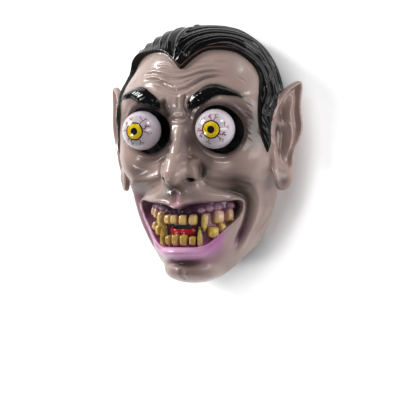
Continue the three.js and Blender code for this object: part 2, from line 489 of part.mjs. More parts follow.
for (const s of [-1, 1]) {
  shell = shell.subtract(plug([s * NOSTRIL.x, NOSTRIL.y + 12, 52], [s * NOSTRIL.x, NOSTRIL.y - 3.5, 110], [NOSTRIL.rx, 0, 0], [0, NOSTRIL.ry, 0]));
  const ax = [s * Math.sin(GAZE_OUT), 0, Math.cos(GAZE_OUT)], o = SIGHT_HOLE.off * Math.SQRT1_2;
  const c = k => [s * BALL_AT[0] + ax[0] * k - s * o, BALL_AT[1] - o, BALL_AT[2] + ax[2] * k];
  shell = shell.subtract(plug(c(-44), c(-19), [s > 0 ? SIGHT_HOLE.r : SIGHT_HOLE.r, 0, 0], [0, SIGHT_HOLE.r, 0]));
}
shell = shell.subtract(rimCutter);
// only the one connected piece stays
const parts = shell.decompose().sort((a, b) => b.volume() - a.volume());
shell = parts[0];

// slivers left by the cuts: draw short edges together where the surface stays closed
function tidy(man, minLen, keepCos) {
  const m = man.getMesh(), V = [], F = [];
  for (let i = 0; i < m.numVert; i++) V.push([0, 1, 2].map(k => m.vertProperties[i * m.numProp + k]));
  for (let i = 0; i < m.numTri; i++) F.push([m.triVerts[3 * i], m.triVerts[3 * i + 1], m.triVerts[3 * i + 2]]);
  const at = V.map(() => new Set());
  F.forEach((f, i) => f.forEach(v => at[v].add(i)));
  const dist = (a, b) => Math.hypot(V[a][0] - V[b][0], V[a][1] - V[b][1], V[a][2] - V[b][2]);
  const ringOf = v => { const r = new Set(); for (const i of at[v]) for (const w of F[i]) if (w !== v) r.add(w); return r; };
  const cross = (f, moved, to) => {
    const P = f.map(v => (v === moved ? V[to] : V[v])), a = P[1].map((c, k) => c - P[0][k]), b = P[2].map((c, k) => c - P[0][k]);
    return [a[1] * b[2] - a[2] * b[1], a[2] * b[0] - a[0] * b[2], a[0] * b[1] - a[1] * b[0]];
  };
  for (let pass = 0; pass < 6; pass++) {
    const edges = [];
    F.forEach(f => { if (f) for (let k = 0; k < 3; k++) { const a = f[k], b = f[(k + 1) % 3]; if (a < b && dist(a, b) < minLen) edges.push([dist(a, b), a, b]); } });
    edges.sort((p, q) => p[0] - q[0]);
    let done = 0;
    for (const [, a0, b0] of edges) for (const [a, b] of [[a0, b0], [b0, a0]]) {
      if (!at[a].size || !at[b].size) break;
      const ra = ringOf(a), rb = ringOf(b);
      if (!ra.has(b)) break;
      let shared = 0; for (const v of ra) if (rb.has(v)) shared++;
      if (shared !== 2) continue;
      let fine = true;
      for (const i of at[b]) {
        if (F[i].includes(a)) continue;
        const n0 = cross(F[i], -1, -1), n1 = cross(F[i], b, a), l0 = Math.hypot(...n0), l1 = Math.hypot(...n1);
        if (l1 < 1e-4 || (l0 > 1e-3 && n0[0] * n1[0] + n0[1] * n1[1] + n0[2] * n1[2] < keepCos * l0 * l1)) { fine = false; break; }
      }
      if (!fine) continue;
      for (const i of [...at[b]]) {
        if (F[i].includes(a)) { for (const v of F[i]) at[v].delete(i); F[i] = null; } else { F[i] = F[i].map(v => (v === b ? a : v)); at[a].add(i); at[b].delete(i); }
      }
      done++;
      break;
    }
    if (!done) break;
  }
  const keep = new Map(), verts = [];
  const tris = F.filter(f => f).map(f => f.map(v => { if (!keep.has(v)) keep.set(v, verts.push(V[v]) - 1); return keep.get(v); }));
  return solid(verts, tris);
}
shell = tidy(tidy(shell, 1.3, 0.5), 7, 0.9994);

// ---------------------------------------------------------------- scene graph
function meshOf(name, man, colour, roughness) {
  const m = man.getMesh(), pos = new Float32Array(m.numVert * 3);
  for (let i = 0; i < m.numVert; i++) for (let k = 0; k < 3; k++) pos[i * 3 + k] = m.vertProperties[i * m.numProp + k];
  const g = new THREE.BufferGeometry();
  g.setAttribute('position', new THREE.BufferAttribute(pos, 3));
  g.setIndex(new THREE.BufferAttribute(new Uint32Array(m.triVerts), 1));
  g.computeVertexNormals();
  const mesh = new THREE.Mesh(g, new THREE.MeshStandardMaterial({ color: colour, roughness, metalness: 0 }));
  mesh.name = name;
  return mesh;
}
const mask = new THREE.Group();
mask.add(meshOf('mask_shell', shell, 0xa8958e, 0.25));
for (const [name, s] of [['left_eyeball', 1], ['right_eyeball', -1]]) {
  const ball = new THREE.Mesh(new THREE.SphereGeometry(BALL_R, 20, 11), new THREE.MeshStandardMaterial({ color: 0xf2efec, roughness: 0.15, metalness: 0 }));
  ball.name = name;
  ball.position.set(s * BALL_AT[0], BALL_AT[1], BALL_AT[2]);
  ball.rotation.y = s * GAZE_OUT;
  ball.rotation.order = 'YXZ';
  ball.rotation.x = Math.PI / 2;      // poles along the gaze
  mask.add(ball);
}
export default mask;
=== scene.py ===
import bpy
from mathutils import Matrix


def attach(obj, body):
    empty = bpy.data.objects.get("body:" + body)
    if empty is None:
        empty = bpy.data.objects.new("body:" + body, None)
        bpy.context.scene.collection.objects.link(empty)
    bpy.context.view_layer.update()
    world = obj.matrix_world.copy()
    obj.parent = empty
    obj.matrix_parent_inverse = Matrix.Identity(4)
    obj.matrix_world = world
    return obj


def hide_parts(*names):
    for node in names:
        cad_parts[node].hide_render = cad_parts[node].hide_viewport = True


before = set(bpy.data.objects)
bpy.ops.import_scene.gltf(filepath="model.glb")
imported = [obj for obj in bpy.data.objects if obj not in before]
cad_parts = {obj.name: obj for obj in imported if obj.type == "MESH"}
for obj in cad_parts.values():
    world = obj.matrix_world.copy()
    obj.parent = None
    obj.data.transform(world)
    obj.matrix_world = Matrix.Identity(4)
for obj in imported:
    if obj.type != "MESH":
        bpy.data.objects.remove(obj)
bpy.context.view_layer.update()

import bpy, math
import numpy as np
from concurrent.futures import ThreadPoolExecutor
from mathutils import Vector, Matrix

# Millimetres until the meshes are made. +X wearer's left, +Y top of the head, +Z the way the face looks.
F32 = np.float32
STEP = 0.85          # voxel of the moulding
TARGET = 192000    # triangles of the moulding
CROWN_Y, CHIN_Y, AXIS_Z, CORE_Z = 129.0, -134.0, 20.0, 10.0
WALL = 3.0
HAIR_LIFT, BROW_LIFT = 4.2, 2.6
BALL_R, BALL_AT, GAZE = 20.0, (41.2, 21.0, 91.3), math.radians(6)
SOCKET_R, SEAT = 23.2, 20.65
ROUND = 80.2                           # mm round the face for a radian

# ------------------------------------------------------------------ helpers
def smooth(a, b, x):
    t = np.clip((x - a) / (b - a), 0, 1)
    return t * t * (3 - 2 * t)

def smin(a, b, k):
    h = np.maximum(k - np.abs(a - b), 0) / k
    return np.minimum(a, b) - h * h * (k / 4)

def smax(a, b, k):
    return -smin(-a, -b, k)

def bell(d, w):
    return np.exp(-(d / w) ** 2)

def spline(xs, ys, lo=None, hi=None, n=2048):
    """smooth function through stations, tabulated"""
    xs, ys = np.array(xs, float), np.array(ys, float)
    m = np.empty_like(xs)
    d = np.diff(ys) / np.diff(xs)
    m[0], m[-1] = d[0], d[-1]
    a, b = np.diff(xs)[:-1], np.diff(xs)[1:]
    m[1:-1] = (d[:-1] * b + d[1:] * a) / (a + b)
    X = np.linspace(xs[0], xs[-1], n)
    i = np.clip(np.searchsorted(xs, X, side="right") - 1, 0, len(xs) - 2)
    h = xs[i + 1] - xs[i]
    t = (X - xs[i]) / h
    Y = (2 * t**3 - 3 * t * t + 1) * ys[i] + (t**3 - 2 * t * t + t) * h * m[i] + (-2 * t**3 + 3 * t * t) * ys[i + 1] + (t**3 - t * t) * h * m[i + 1]
    Y = Y.astype(F32)
    x0, s = F32(xs[0]), F32((n - 1) / (xs[-1] - xs[0]))
    def f(x):
        q = np.clip((x - x0) * s, 0, n - 1.001)
        k = q.astype(np.int32)
        r = q - k
        return Y[k] * (1 - r) + Y[k + 1] * r
    return f

def ellipsoid(x, y, z, c, r):
    a, b, d = (x - c[0]) / r[0], (y - c[1]) / r[1], (z - c[2]) / r[2]
    k0 = np.sqrt(a * a + b * b + d * d) + 1e-9
    k1 = np.sqrt((a / r[0]) ** 2 + (b / r[1]) ** 2 + (d / r[2]) ** 2) + 1e-9
    return k0 * (k0 - 1) / k1

def bar(x, y, z, pts, k):
    best = None
    for A, B in zip(pts[:-1], pts[1:]):
        dx, dy, dz = B[0] - A[0], B[1] - A[1], B[2] - A[2]
        t = np.clip(((x - A[0]) * dx + (y - A[1]) * dy + (z - A[2]) * dz) / (dx * dx + dy * dy + dz * dz), 0, 1)
        d = np.sqrt((x - A[0] - dx * t) ** 2 + (y - A[1] - dy * t) ** 2 + (z - A[2] - dz * t) ** 2) - (A[3] + (B[3] - A[3]) * t)
        best = d if best is None else (smin(best, d, k) if k else np.minimum(best, d))
    return best

def soft_path(pts, per):
    pts = np.array(pts, float)
    n = len(pts)
    out = []
    for i in range(n - 1):
        a, b, c, d = pts[max(i - 1, 0)], pts[i], pts[i + 1], pts[min(i + 2, n - 1)]
        for s in range(per):
            t = s / per
            out.append(0.5 * (2 * b + (c - a) * t + (2 * a - 5 * b + 4 * c - d) * t * t + (3 * b - a - 3 * c + d) * t**3))
    out.append(pts[-1])
    return np.array(out)

def value_noise(x, y, z, scale, seed):
    """smooth noise, -1 to 1, the same every run"""
    rng = np.random.default_rng(seed)
    T = rng.uniform(-1, 1, 4096).astype(F32)
    p = [q / scale + 1000 for q in (x, y, z)]
    i = [np.floor(q).astype(np.int64) for q in p]
    f = [q - k for q, k in zip(p, i)]
    f = [t * t * (3 - 2 * t) for t in f]
    out = 0
    for a in (0, 1):
        for b in (0, 1):
            for c in (0, 1):
                h = ((i[0] + a) * 73856093) ^ ((i[1] + b) * 19349663) ^ ((i[2] + c) * 83492791)
                w = (f[0] if a else 1 - f[0]) * (f[1] if b else 1 - f[1]) * (f[2] if c else 1 - f[2])
                out = out + T[(h >> 3) & 4095] * w
    return out

# ------------------------------------------------------------------ flat maps
class Sheet:
    """A flat grid of values that the surface is looked up in."""
    def __init__(self, lo, hi, step):
        self.lo, self.step = lo, step
        self.n = (int((hi[0] - lo[0]) / step) + 1, int((hi[1] - lo[1]) / step) + 1)
        self.U = (lo[0] + np.arange(self.n[0]) * step).astype(F32)[:, None]
        self.V = (lo[1] + np.arange(self.n[1]) * step).astype(F32)[None, :]

    def window(self, lo, hi):
        i0 = max(int((lo[0] - self.lo[0]) / self.step), 0)
        i1 = min(int((hi[0] - self.lo[0]) / self.step) + 2, self.n[0])
        j0 = max(int((lo[1] - self.lo[1]) / self.step), 0)
        j1 = min(int((hi[1] - self.lo[1]) / self.step) + 2, self.n[1])
        return slice(i0, max(i1, i0)), slice(j0, max(j1, j0))

    def line(self, pts, per, reach):
        """distance to a smooth line, place along it (0..1) and side; reach where further"""
        P = soft_path(pts, per)
        L = np.concatenate([[0], np.cumsum(np.hypot(*np.diff(P, axis=0).T))])
        D = np.full(self.n, reach * reach, F32)
        T = np.zeros(self.n, F32)
        S = np.ones(self.n, F32)
        for k in range(len(P) - 1):
            A, B = P[k], P[k + 1]
            w = self.window(np.minimum(A, B) - reach, np.maximum(A, B) + reach)
            u, v = self.U[w[0]], self.V[:, w[1]]
            dx, dy = B - A
            t = np.clip(((u - A[0]) * dx + (v - A[1]) * dy) / (dx * dx + dy * dy + 1e-12), 0, 1)
            ex, ey = u - A[0] - dx * t, v - A[1] - dy * t
            d = ex * ex + ey * ey
            m = d < D[w] - 1e-9
            D[w] = np.where(m, d, D[w])
            T[w] = np.where(m, (L[k] + (L[k + 1] - L[k]) * t) / L[-1], T[w])
            S[w] = np.where(m, np.where(dx * ey - dy * ex >= 0, 1, -1), S[w])
        return np.sqrt(D), T, S

    def inside(self, P):
        W = np.zeros(self.n, bool)
        for A, B in zip(P, np.roll(P, -1, axis=0)):
            lo, hi = (A, B) if A[1] < B[1] else (B, A)
            if hi[1] == lo[1]:
                continue
            j = np.where((self.V[0] >= lo[1]) & (self.V[0] < hi[1]))[0]
            c = lo[0] + (self.V[0, j] - lo[1]) * (hi[0] - lo[0]) / (hi[1] - lo[1])
            W[:, j] ^= self.U < c[None, :]
        return W

    def area(self, pts, per, reach, closing=()):
        """signed distance to an area's edge, negative inside; closing = far corners that don't count as edge"""
        d, _, _ = self.line(pts, per, reach)
        P = soft_path(pts, per)
        if len(closing):
            P = np.concatenate([P, np.array(closing, float)])
        return np.where(self.inside(P), -d, d).astype(F32)

    def at(self, M, u, v):
        p = np.clip((u - self.lo[0]) / self.step, 0, self.n[0] - 1.001)
        q = np.clip((v - self.lo[1]) / self.step, 0, self.n[1] - 1.001)
        i, j = p.astype(np.int32), q.astype(np.int32)
        a, b = p - i, q - j
        k = i * self.n[1] + j
        R = M.ravel()
        return (R[k] * (1 - b) + R[k + 1] * b) * (1 - a) + (R[k + self.n[1]] * (1 - b) + R[k + self.n[1] + 1] * b) * a

face_map = Sheet((-256, -141), (256, 141), 0.5)
U, V = face_map.U, face_map.V
AU = np.abs(U)

# ------------------------------------------------------------------ the head
halfWidth = spline([-134, -118, -105, -90, -75, -53, -38, -5, 20, 54, 90, 134], [48, 49, 52, 58.5, 66, 73.5, 77, 81.5, 83, 84, 83, 82])
frontDepth = spline([-134, -118, -100, -80, -40, 0, 33, 60, 90, 134], [58, 60, 63, 64, 64, 62, 63, 70, 71, 74])
squareness = spline([-134, -90, -40, 0, 60, 100, 134], [2.0, 2.0, 2.2, 2.4, 2.6, 2.45, 2.4])
rearTaper = spline([-134, -90, -50, 0, 60, 134], [1.5, 1.5, 1.5, 1.2, 1.9, 2.1])
_domeY = np.linspace(-140, 140, 2801)
_t = np.clip((_domeY - 20) / (CROWN_Y - 20), 0, 1)
_b = np.clip((-95 - _domeY) / (-95 - CHIN_Y), 0, 1)
_dome = np.maximum((1 - _t**2.6 + 1e-9) ** (1 / 2.6) * (1 - _b**2.4 + 1e-9) ** (1 / 2.4), 0.02).astype(F32)

def dome(y):
    q = np.clip((y + 140) * 10, 0, 2799.9)
    k = q.astype(np.int32)
    r = q - k
    return _dome[k] * (1 - r) + _dome[k + 1] * r

def head(x, y, z):
    a, d, n = halfWidth(y), frontDepth(y), squareness(y)
    zz = np.where(z > AXIS_Z, z - AXIS_Z, np.minimum((AXIS_Z - z) * rearTaper(y), d * dome(y) * 0.8))
    top = y > 0
    p = np.where(top, 2.6, 2.4)
    s = np.maximum(np.where(top, (y - 20) / (CROWN_Y - 20), (-95 - y) / (-95 - CHIN_Y)), 0) ** p
    w = (((x / a) ** n + (zz / d) ** n + 1e-12) ** (1 / n)) ** p
    share = s / (w + s + 1e-9)
    span = np.minimum(a, d) * (1 - share) + np.where(top, CROWN_Y - 20, -95 - CHIN_Y) * share
    return ((w + s) ** (1 / p) - 1) * span

def arch(x, z, a, d, n):
    return (((np.abs(x) / a) ** n + (np.maximum(z - AXIS_Z, 0) / d) ** n + 1e-12) ** (1 / n) - 1) * np.minimum(a, d)

muzzleHalf = spline([-130, -112, -104, -95, -85, -75, -64, -52, -44, -36, -26, -14], [24, 33, 39, 45, 50, 54, 57.5, 60, 59, 48, 30, 20])
muzzleFront = spline([-130, -113, -104, -95, -80, -66, -58, -50, -40, -28, -14], [58, 64, 70, 73.5, 76, 77, 78, 77, 75, 73, 66])

def muzzle(x, y, z):
    yy = np.clip(y, -124, -20)
    f = arch(x, z, muzzleHalf(yy), muzzleFront(yy), 2.05)
    over = np.maximum(y + 20, -124 - y)
    return np.where(over > 0, np.hypot(np.maximum(f, 0), over), f)

def skin(x, y, z):
    """bare skin with its big masses, x >= 0"""
    f = head(x, y, z)
    f = smin(f, ellipsoid(x, y, z, (55, -7, 52), (27, 26, 29)), 12)       # cheekbone
    f = smin(f, ellipsoid(x, y, z, (64, 32, 48), (21, 42, 27)), 14)       # outer rim of the orbit
    f = smin(f, ellipsoid(x, y, z, (34, 52, 68), (36, 15, 22)), 12)       # brow bone
    f = smin(f, ellipsoid(x, y, z, (0, 50, 70), (24, 18, 21)), 12)        # between the brows
    f = smin(f, muzzle(x, y, z), 5)
    f = smin(f, bar(x, y, z, [(0, 34, 76, 9), (0, 16, 83.5, 8.2), (0, 0, 91, 7.6), (0, -14, 98.5, 7.6), (0, -24, 103.6, 7.8), (0, -28.6, 104.4, 7.4)], 5), 8)
    f = smin(f, ellipsoid(x, y, z, (0, -20, 91.5), (15.5, 15.0, 14.5)), 6)
    f = smin(f, ellipsoid(x, y, z, (14.0, -19.5, 87.5), (9.2, 12.5, 11)), 3.2)
    return smin(f, ellipsoid(x, y, z, (0, -121, 57), (29, 14, 24)), 9)

# ------------------------------------------------------------------ outlines on the unrolled face
FOLD = [(22, -25), (40, -30.8), (58, -34), (73.5, -39.2), (81.5, -48), (83.6, -61), (81, -77), (76.6, -89), (71, -99), (65, -107)]
MOUTH = [(0, -59), (5, -57.5), (11, -55), (24, -53), (42, -52), (56, -50.6), (64, -50), (68.6, -53.5), (68.2, -60), (64.2, -67), (58, -72.8), (48, -80.2), (37, -89.6), (27.4, -95.4), (18, -97.6), (0, -97.8)]
LIP = [(0, -103.5), (12, -103.8), (22, -103.2), (31, -99.2), (40, -91.6), (50, -82.8), (60, -75.2), (67, -67.5)]
HAIR = [(0, 82.5), (4, 84.5), (9, 89), (16, 94.5), (26, 100), (38, 102), (53, 101.2), (63, 98.8), (72, 93), (79, 85), (80.4, 75), (76.8, 62), (74.4, 50), (73.8, 36), (75, 23), (78.4, 10), (84, -2.5), (86.5, 5), (87.5, 20), (90, 36), (96, 43), (108, 46), (124, 47), (250, 48)]
BROW = [(11, 42), (10.6, 48), (15, 55), (21.6, 60.5), (28.5, 65), (36.5, 66.8), (44, 65.3), (51.4, 61.6), (57.3, 57.3), (61.5, 51.8), (55.6, 53.6), (48.4, 54.2), (41, 54.8), (35, 52), (27, 46.5), (18, 42.3), (11, 42)]

d_fold, t_fold, s_fold = face_map.line(FOLD, 5, 45)
d_mouth = face_map.area(MOUTH, 3, 40, [(-40, -97.8), (-40, -59)])
d_lip, t_lip, _ = face_map.line(LIP, 4, 16)
# the wearer's right corner of the mouth is drawn in
d_mouth_right = face_map.area([(u * 0.91, v) for u, v in MOUTH], 3, 40, [(-40, -97.8), (-40, -59)])
d_lip_right, t_lip_right, _ = face_map.line([(u * 0.93, v) for u, v in LIP], 4, 16)
d_hair = face_map.area(HAIR, 3, 40, [(260, 200), (-60, 200), (-60, 110)])
HAIR_BACK = [(u + (8 * math.exp(-(((v - 86) / 15) ** 2)) - 3.0 * math.exp(-(((v - 44) / 18) ** 2))) * (u > 50) * (u < 83), v) for u, v in HAIR]
d_hair_right = face_map.area(HAIR_BACK, 3, 40, [(260, 200), (-60, 200), (-60, 110)])
d_brow = face_map.area(BROW, 3, 14)

def left_right(M):
    """the wearer's left half of a sheet, mirrored to the right"""
    c = face_map.n[0] // 2
    out = M.copy()
    out[:c] = M[:c:-1][:c]
    return out

FOLD_S = left_right(-s_fold * d_fold)
FOLD_T = left_right(t_fold)
D_MOUTH, D_LIP, T_LIP, D_HAIR = (left_right(M) for M in (d_mouth, d_lip, t_lip, d_hair))
for whole_map, right_map in ((D_HAIR, d_hair_right), (D_MOUTH, d_mouth_right), (D_LIP, d_lip_right), (T_LIP, t_lip_right)):
    whole_map[:face_map.n[0] // 2] = left_right(right_map)[:face_map.n[0] // 2]
# the wearer's right brow sits further round
_c = face_map.n[0] // 2
D_BROW = d_brow.copy()
BROW_MID = spline([10, 15, 28, 40, 52, 62], [45, 49, 58, 60.5, 58, 52.5])
_u = -face_map.U[:_c, 0]
_ub = (_u - 8) / 1.08
_k = np.clip((_ub - face_map.lo[0]) / 0.5, 0, face_map.n[0] - 1.001)
_i = _k.astype(int)
_r = (_k - _i)[:, None]
D_BROW[:_c] = d_brow[_i] * (1 - _r) + d_brow[_i + 1] * _r

# broad relief, the same on the hollow side
FORM = np.zeros(face_map.n, F32)
_e = smooth(0, 0.07, FOLD_T) * smooth(1, 0.80, FOLD_T) * (0.62 + 0.38 * smooth(0.12, 0.42, FOLD_T))
FORM -= _e * (5.4 * bell(FOLD_S - 6.8, 4.6) - 2.8 * bell(FOLD_S + 3, 4.5))
FORM -= 3.6 * np.exp(-(((U + 17) / 6.5) ** 2) - (((V + 19) / 8.5) ** 2))
FORM += np.where(D_LIP < 15, 5.0 * (1 - 0.80 * T_LIP) * bell(D_LIP, 5.6), 0)
FORM -= 2.4 * bell(V + 114.5, 4.0) * smooth(36, 12, AU)

# fine relief
FINE = np.zeros(face_map.n, F32)
DARK = np.zeros(face_map.n, F32)                   # brown spray that lies in the creases

def crease(pts, deep, wide, shoulder=0.5, dark=0.25, per=6, taper=0.18):
    """a groove with raised shoulders along a line; negative deep makes a ridge"""
    d, t, _ = face_map.line(pts, per, wide * 5)
    e = smooth(0, taper, t) * smooth(1, 1 - taper, t) * (d < wide * 4.9)
    FINE[...] -= deep * e * bell(d, wide)
    FINE[...] += deep * shoulder * e * bell(d - wide * 2.1, wide * 1.2)
    DARK[...] = np.maximum(DARK, dark * e * bell(d, wide * 1.2 + 1.6))

def mirror(pts):
    return [(-u, v) for u, v in pts]

# forehead
crease([(-52, 77), (-42, 79), (-27, 78.6), (-12, 74), (-1, 72.8), (10, 74.8), (27, 78.6), (40, 78.8), (52, 76)], 1.15, 1.7)
crease([(-48, 71), (-38, 73.4), (-27, 72), (-17, 67), (-8, 62), (-1, 60), (8.5, 62.8), (18.3, 68), (27, 72.5), (41.5, 74.3), (52, 72)], 1.35, 1.8)
crease([(-30, 67.6), (-20, 63.2), (-9, 57.8), (-2, 56.2), (5, 58.2), (12, 62), (19, 65.2)], 0.8, 1.3)
crease([(-36, 83.8), (-22, 83.6), (-10, 79.4), (0, 77.8), (10, 79.6), (22, 83.4), (34, 84.2), (46, 83)], 0.7, 1.6, dark=0.12)
crease([(-34, 88.6), (-22, 88.4), (-12, 85)], 0.45, 1.5, dark=0.08)
crease([(16, 88.5), (28, 89.3), (42, 89), (52, 87)], 0.45, 1.6, dark=0.08)
crease([(-24, 76.2), (-16, 73.6), (-9, 70.4)], 0.6, 1.0)
crease([(-26, 70), (-18, 69.8), (-10, 66.6), (-3, 64.6)], 0.7, 1.0)
crease([(2, 68.4), (9, 69.6), (17, 73.4), (25, 75.8)], 0.6, 1.1)
crease([(-2, 67), (3, 66.2), (9, 66.6)], 0.5, 1.0)
# between the brows
crease([(9.4, 58), (6.8, 52), (6, 47), (6.6, 41), (9.9, 35.6)], 1.5, 1.7, dark=0.4)
crease([(-14.8, 55), (-14.6, 47), (-14, 40), (-12, 33.4)], 1.3, 2.1, dark=0.35)
crease([(1.5, 54), (0.4, 48), (0.8, 43)], 0.5, 1.4, dark=0.1)
crease([(-10, 33.2), (-4, 32), (2, 32), (8.6, 33.6)], 0.9, 1.6, dark=0.25)
crease([(-9, 29.8), (-4, 28.6), (3, 28.6), (8, 30)], -0.5, 1.6, shoulder=0, dark=0)
# beside the eyes
for m in (1, -1):
    side = (lambda p: p) if m > 0 else mirror
    crease(side([(58, 74.2), (63, 71.2), (66.5, 67)]), 0.3, 1.0, dark=0.05)
    for k, v in enumerate((52, 46.5, 41, 35.5, 30, 24.5, 19, 12)):
        crease(side([(61 + 2.2 * (k % 2), v), (65 + 1.5 * (k % 2), v - 1.5), (69.5, v - 4.5)]), 0.28, 0.85, dark=0.02, taper=0.35)
    # under the eye: bag and its lower fold
    crease(side([(20, 1), (27, -7.4), (37, -11.8), (49, -11.6), (59, -6.4)]), 0.5, 3.0, dark=0.08, taper=0.35)
    # nose: fold over the wing, and the crease behind it
    crease(side([(20, -3.6), (14, -3.3), (9, -3.2), (6.2, -5.2), (6.0, -8.4), (9, -11.2), (14, -12.4)]), -1.25, 1.5, shoulder=0, dark=0, taper=0.22)
    crease(side([(10, -7.4), (15, -8.0), (20, -8.4)]), 0.6, 1.8, shoulder=0, dark=0.25, taper=0.3)
    crease(side([(18.4, -7.4), (21.4, -13), (23, -19), (22.4, -26), (19.4, -30.5)]), 1.2, 2.6, shoulder=0.25, dark=0.28, taper=0.3)
    crease(side([(11.8, -13.6), (16.2, -15.2), (18.8, -20.0), (18.0, -25)]), -0.6, 1.9, shoulder=0, dark=0)
    crease(side([(2.6, -28.4), (6.4, -25.0)]), -0.4, 1.1, shoulder=0, dark=0, taper=0.4)
    # upper edge of the moustache plane, where the fold begins
    crease(side([(20, -25.5), (30, -29.4), (43, -32.4), (57, -35.2), (70, -39.6)]), 0.9, 1.9, shoulder=0.25, dark=0.25, taper=0.3)
    # second fold under the cheek, and the jaw creases
    crease(side([(96, -44), (99, -56), (97, -69), (90, -83), (82, -95)]), 0.9, 3.6, shoulder=0.3, dark=0.12, taper=0.35)
    crease(side([(125, -52), (119, -62), (107.9, -74.5), (99, -83), (90, -92)]), 1.3, 2.4, dark=0.3, taper=0.35)
    crease(side([(131, -62), (124, -72), (113, -84), (104, -92)]), 0.6, 2.4, dark=0.1, taper=0.35)
# philtrum and its ridges
crease([(0, -40), (0.4, -48), (0.8, -55)], 1.3, 2.4, shoulder=0.75, dark=0.35, taper=0.25)
# chin
crease([(-26, -111.4), (-12, -114.2), (0, -114.8), (12, -114.2), (26, -111.4)], 0.5, 2.4, shoulder=0, dark=0.2, taper=0.4)
crease([(0.5, -119), (0.2, -126), (0, -132)], 0.7, 2.6, dark=0.1)

# upper lip: a thin raised edge over the mouth
FINE += (V > -66) * (AU < 70) * 1.0 * bell(D_MOUTH - 1.6, 1.5) * smooth(-64, -60, V)
FINE += 1.6 * np.exp(-(((U - 0.6) / 4.6) ** 2) - (((V + 58.5) / 3.6) ** 2))          # cupid's bow

def sunk(M, k):
    """lowest value within k cells"""
    for ax in (0, 1):
        M = np.minimum.reduce([np.roll(M, d, ax) for d in range(-k, k + 1)])
    return M

FINE = np.where(FINE < -0.8, -0.8 - 0.6 * np.tanh((-FINE - 0.8) / 0.6), FINE)      # the wall stays thick enough
RELIEF = (FORM + FINE).astype(F32)

def blurred(M, k):
    for ax in (0, 1):
        c = np.cumsum(np.concatenate([np.repeat(M.take([0], ax), k + 1, ax), M, np.repeat(M.take([-1], ax), k, ax)], ax), ax, dtype=np.float64)
        n = M.shape[ax]
        M = (c.take(np.arange(2 * k + 1, 2 * k + 1 + n), ax) - c.take(np.arange(n), ax)) / (2 * k + 1)
    return M.astype(F32)

BROAD = blurred(sunk(np.minimum(FORM, RELIEF + 0.6), 5), 4)   # the hollow side keeps its distance from every furrow

# ------------------------------------------------------------------ hair
# Locks are combed back: on the wearer's left they sweep over the head round the temple, on the
# right they go straight up from the hairline in thick locks. Angles are taken about a point
# inside the head, from the direction of each temple.
HEAD_C = np.array([0.0, 18.0, 12.0])
def temple(s):
    d = np.array([s * 37.0, 46.0, 78.0]) - HEAD_C
    return d / np.linalg.norm(d)
T_L = temple(1)

def about(axis, x, y, z):
    """angle from the axis and angle round it, about the middle of the head"""
    dx, dy, dz = x - HEAD_C[0], y - HEAD_C[1], z - HEAD_C[2]
    l = np.sqrt(dx * dx + dy * dy + dz * dz) + 1e-6
    c = (dx * axis[0] + dy * axis[1] + dz * axis[2]) / l
    e1 = np.cross(axis, [0, 0, 1.0]); e1 /= np.linalg.norm(e1)
    e2 = np.cross(axis, e1)
    a = np.arccos(np.clip(c, -1, 1))
    b = np.arctan2(dx * e2[0] + dy * e2[1] + dz * e2[2], dx * e1[0] + dy * e1[1] + dz * e1[2])
    return a, b

def saw(t):
    """rounded lock: 0 in the groove, 1 on the back"""
    r = np.abs((t % 1.0) - 0.5) * 2
    r = 1.1 - np.sqrt((1 - r) ** 2 + 0.01)
    return 1 - r**2.4

def parting(y, z):
    return -9.0 + 2.0 * smooth(95, 130, y)

def fan(x, y):
    """degrees round the face, for locks that spread from its middle"""
    return np.degrees(np.arctan2(y - 20, 5 - x))

def hair_relief(x, y, z, dh):
    """mm over the hair cap; dh = how far behind the hairline"""
    near_edge = smooth(0.8, 10.0 - 5.0 * smooth(80, 60, y), dh)
    # sweep on the wearer's left and middle
    a, b = about(T_L, x, y, z)
    s = a * 92
    wob = 2.2 * np.sin(b * 2.1 + 0.6) + 1.5 * value_noise(b * 30, s * 0.35, 0 * s, 9.0, 5)
    big = saw((s + wob) / 12.9)
    mid = saw((s + wob * 1.5 + 1.4 * value_noise(b * 34, s * 0.5, 0 * s, 9.0, 6)) / 4.3)
    left = 1.5 * (big - 0.7) + 1.0 * (mid - 0.7) * (0.65 + 0.35 * big)
    # thick locks on the wearer's right
    q = fan(x, y)
    wob2 = 1.6 * value_noise(q * 0.35, z * 0.5, 0 * q, 9.0, 8)
    lobe = saw((q + wob2 + 2) / 6.2)
    strand = saw((q + wob2 * 1.3 + 0.7 * value_noise(q * 0.8, z * 0.5, 0 * q, 7.0, 9)) / 2.07)
    right = 3.6 * (lobe - 0.6) * smooth(4, 14, dh) + 0.6 * (strand - 0.7)
    p = x - parting(y, z) + 1.2 * np.sin(y * 0.09)
    side = smooth(-1.2, 1.2, p)
    low = smooth(46, 26, y)                            # sideburns: plain combed strands, down
    out = side * (left + 1.1 + 1.1 * bell(p - 1.2, 1.6)) + (1 - side) * (right - 0.9)
    s3 = np.abs(x) * 0.2 + z * 0.86 - 0.50 * y + 1.2 * value_noise(x, y * 0.4, z, 9.0, 12)
    comb = 0.9 * (saw(s3 / 3.6) - 0.6) + 0.5 * (saw(s3 / 10.8) - 0.6)
    out = out * (1 - low) + comb * low
    return out * near_edge * (0.15 + 0.85 * smooth(7, 24, np.hypot(x - 2, y - 80)))

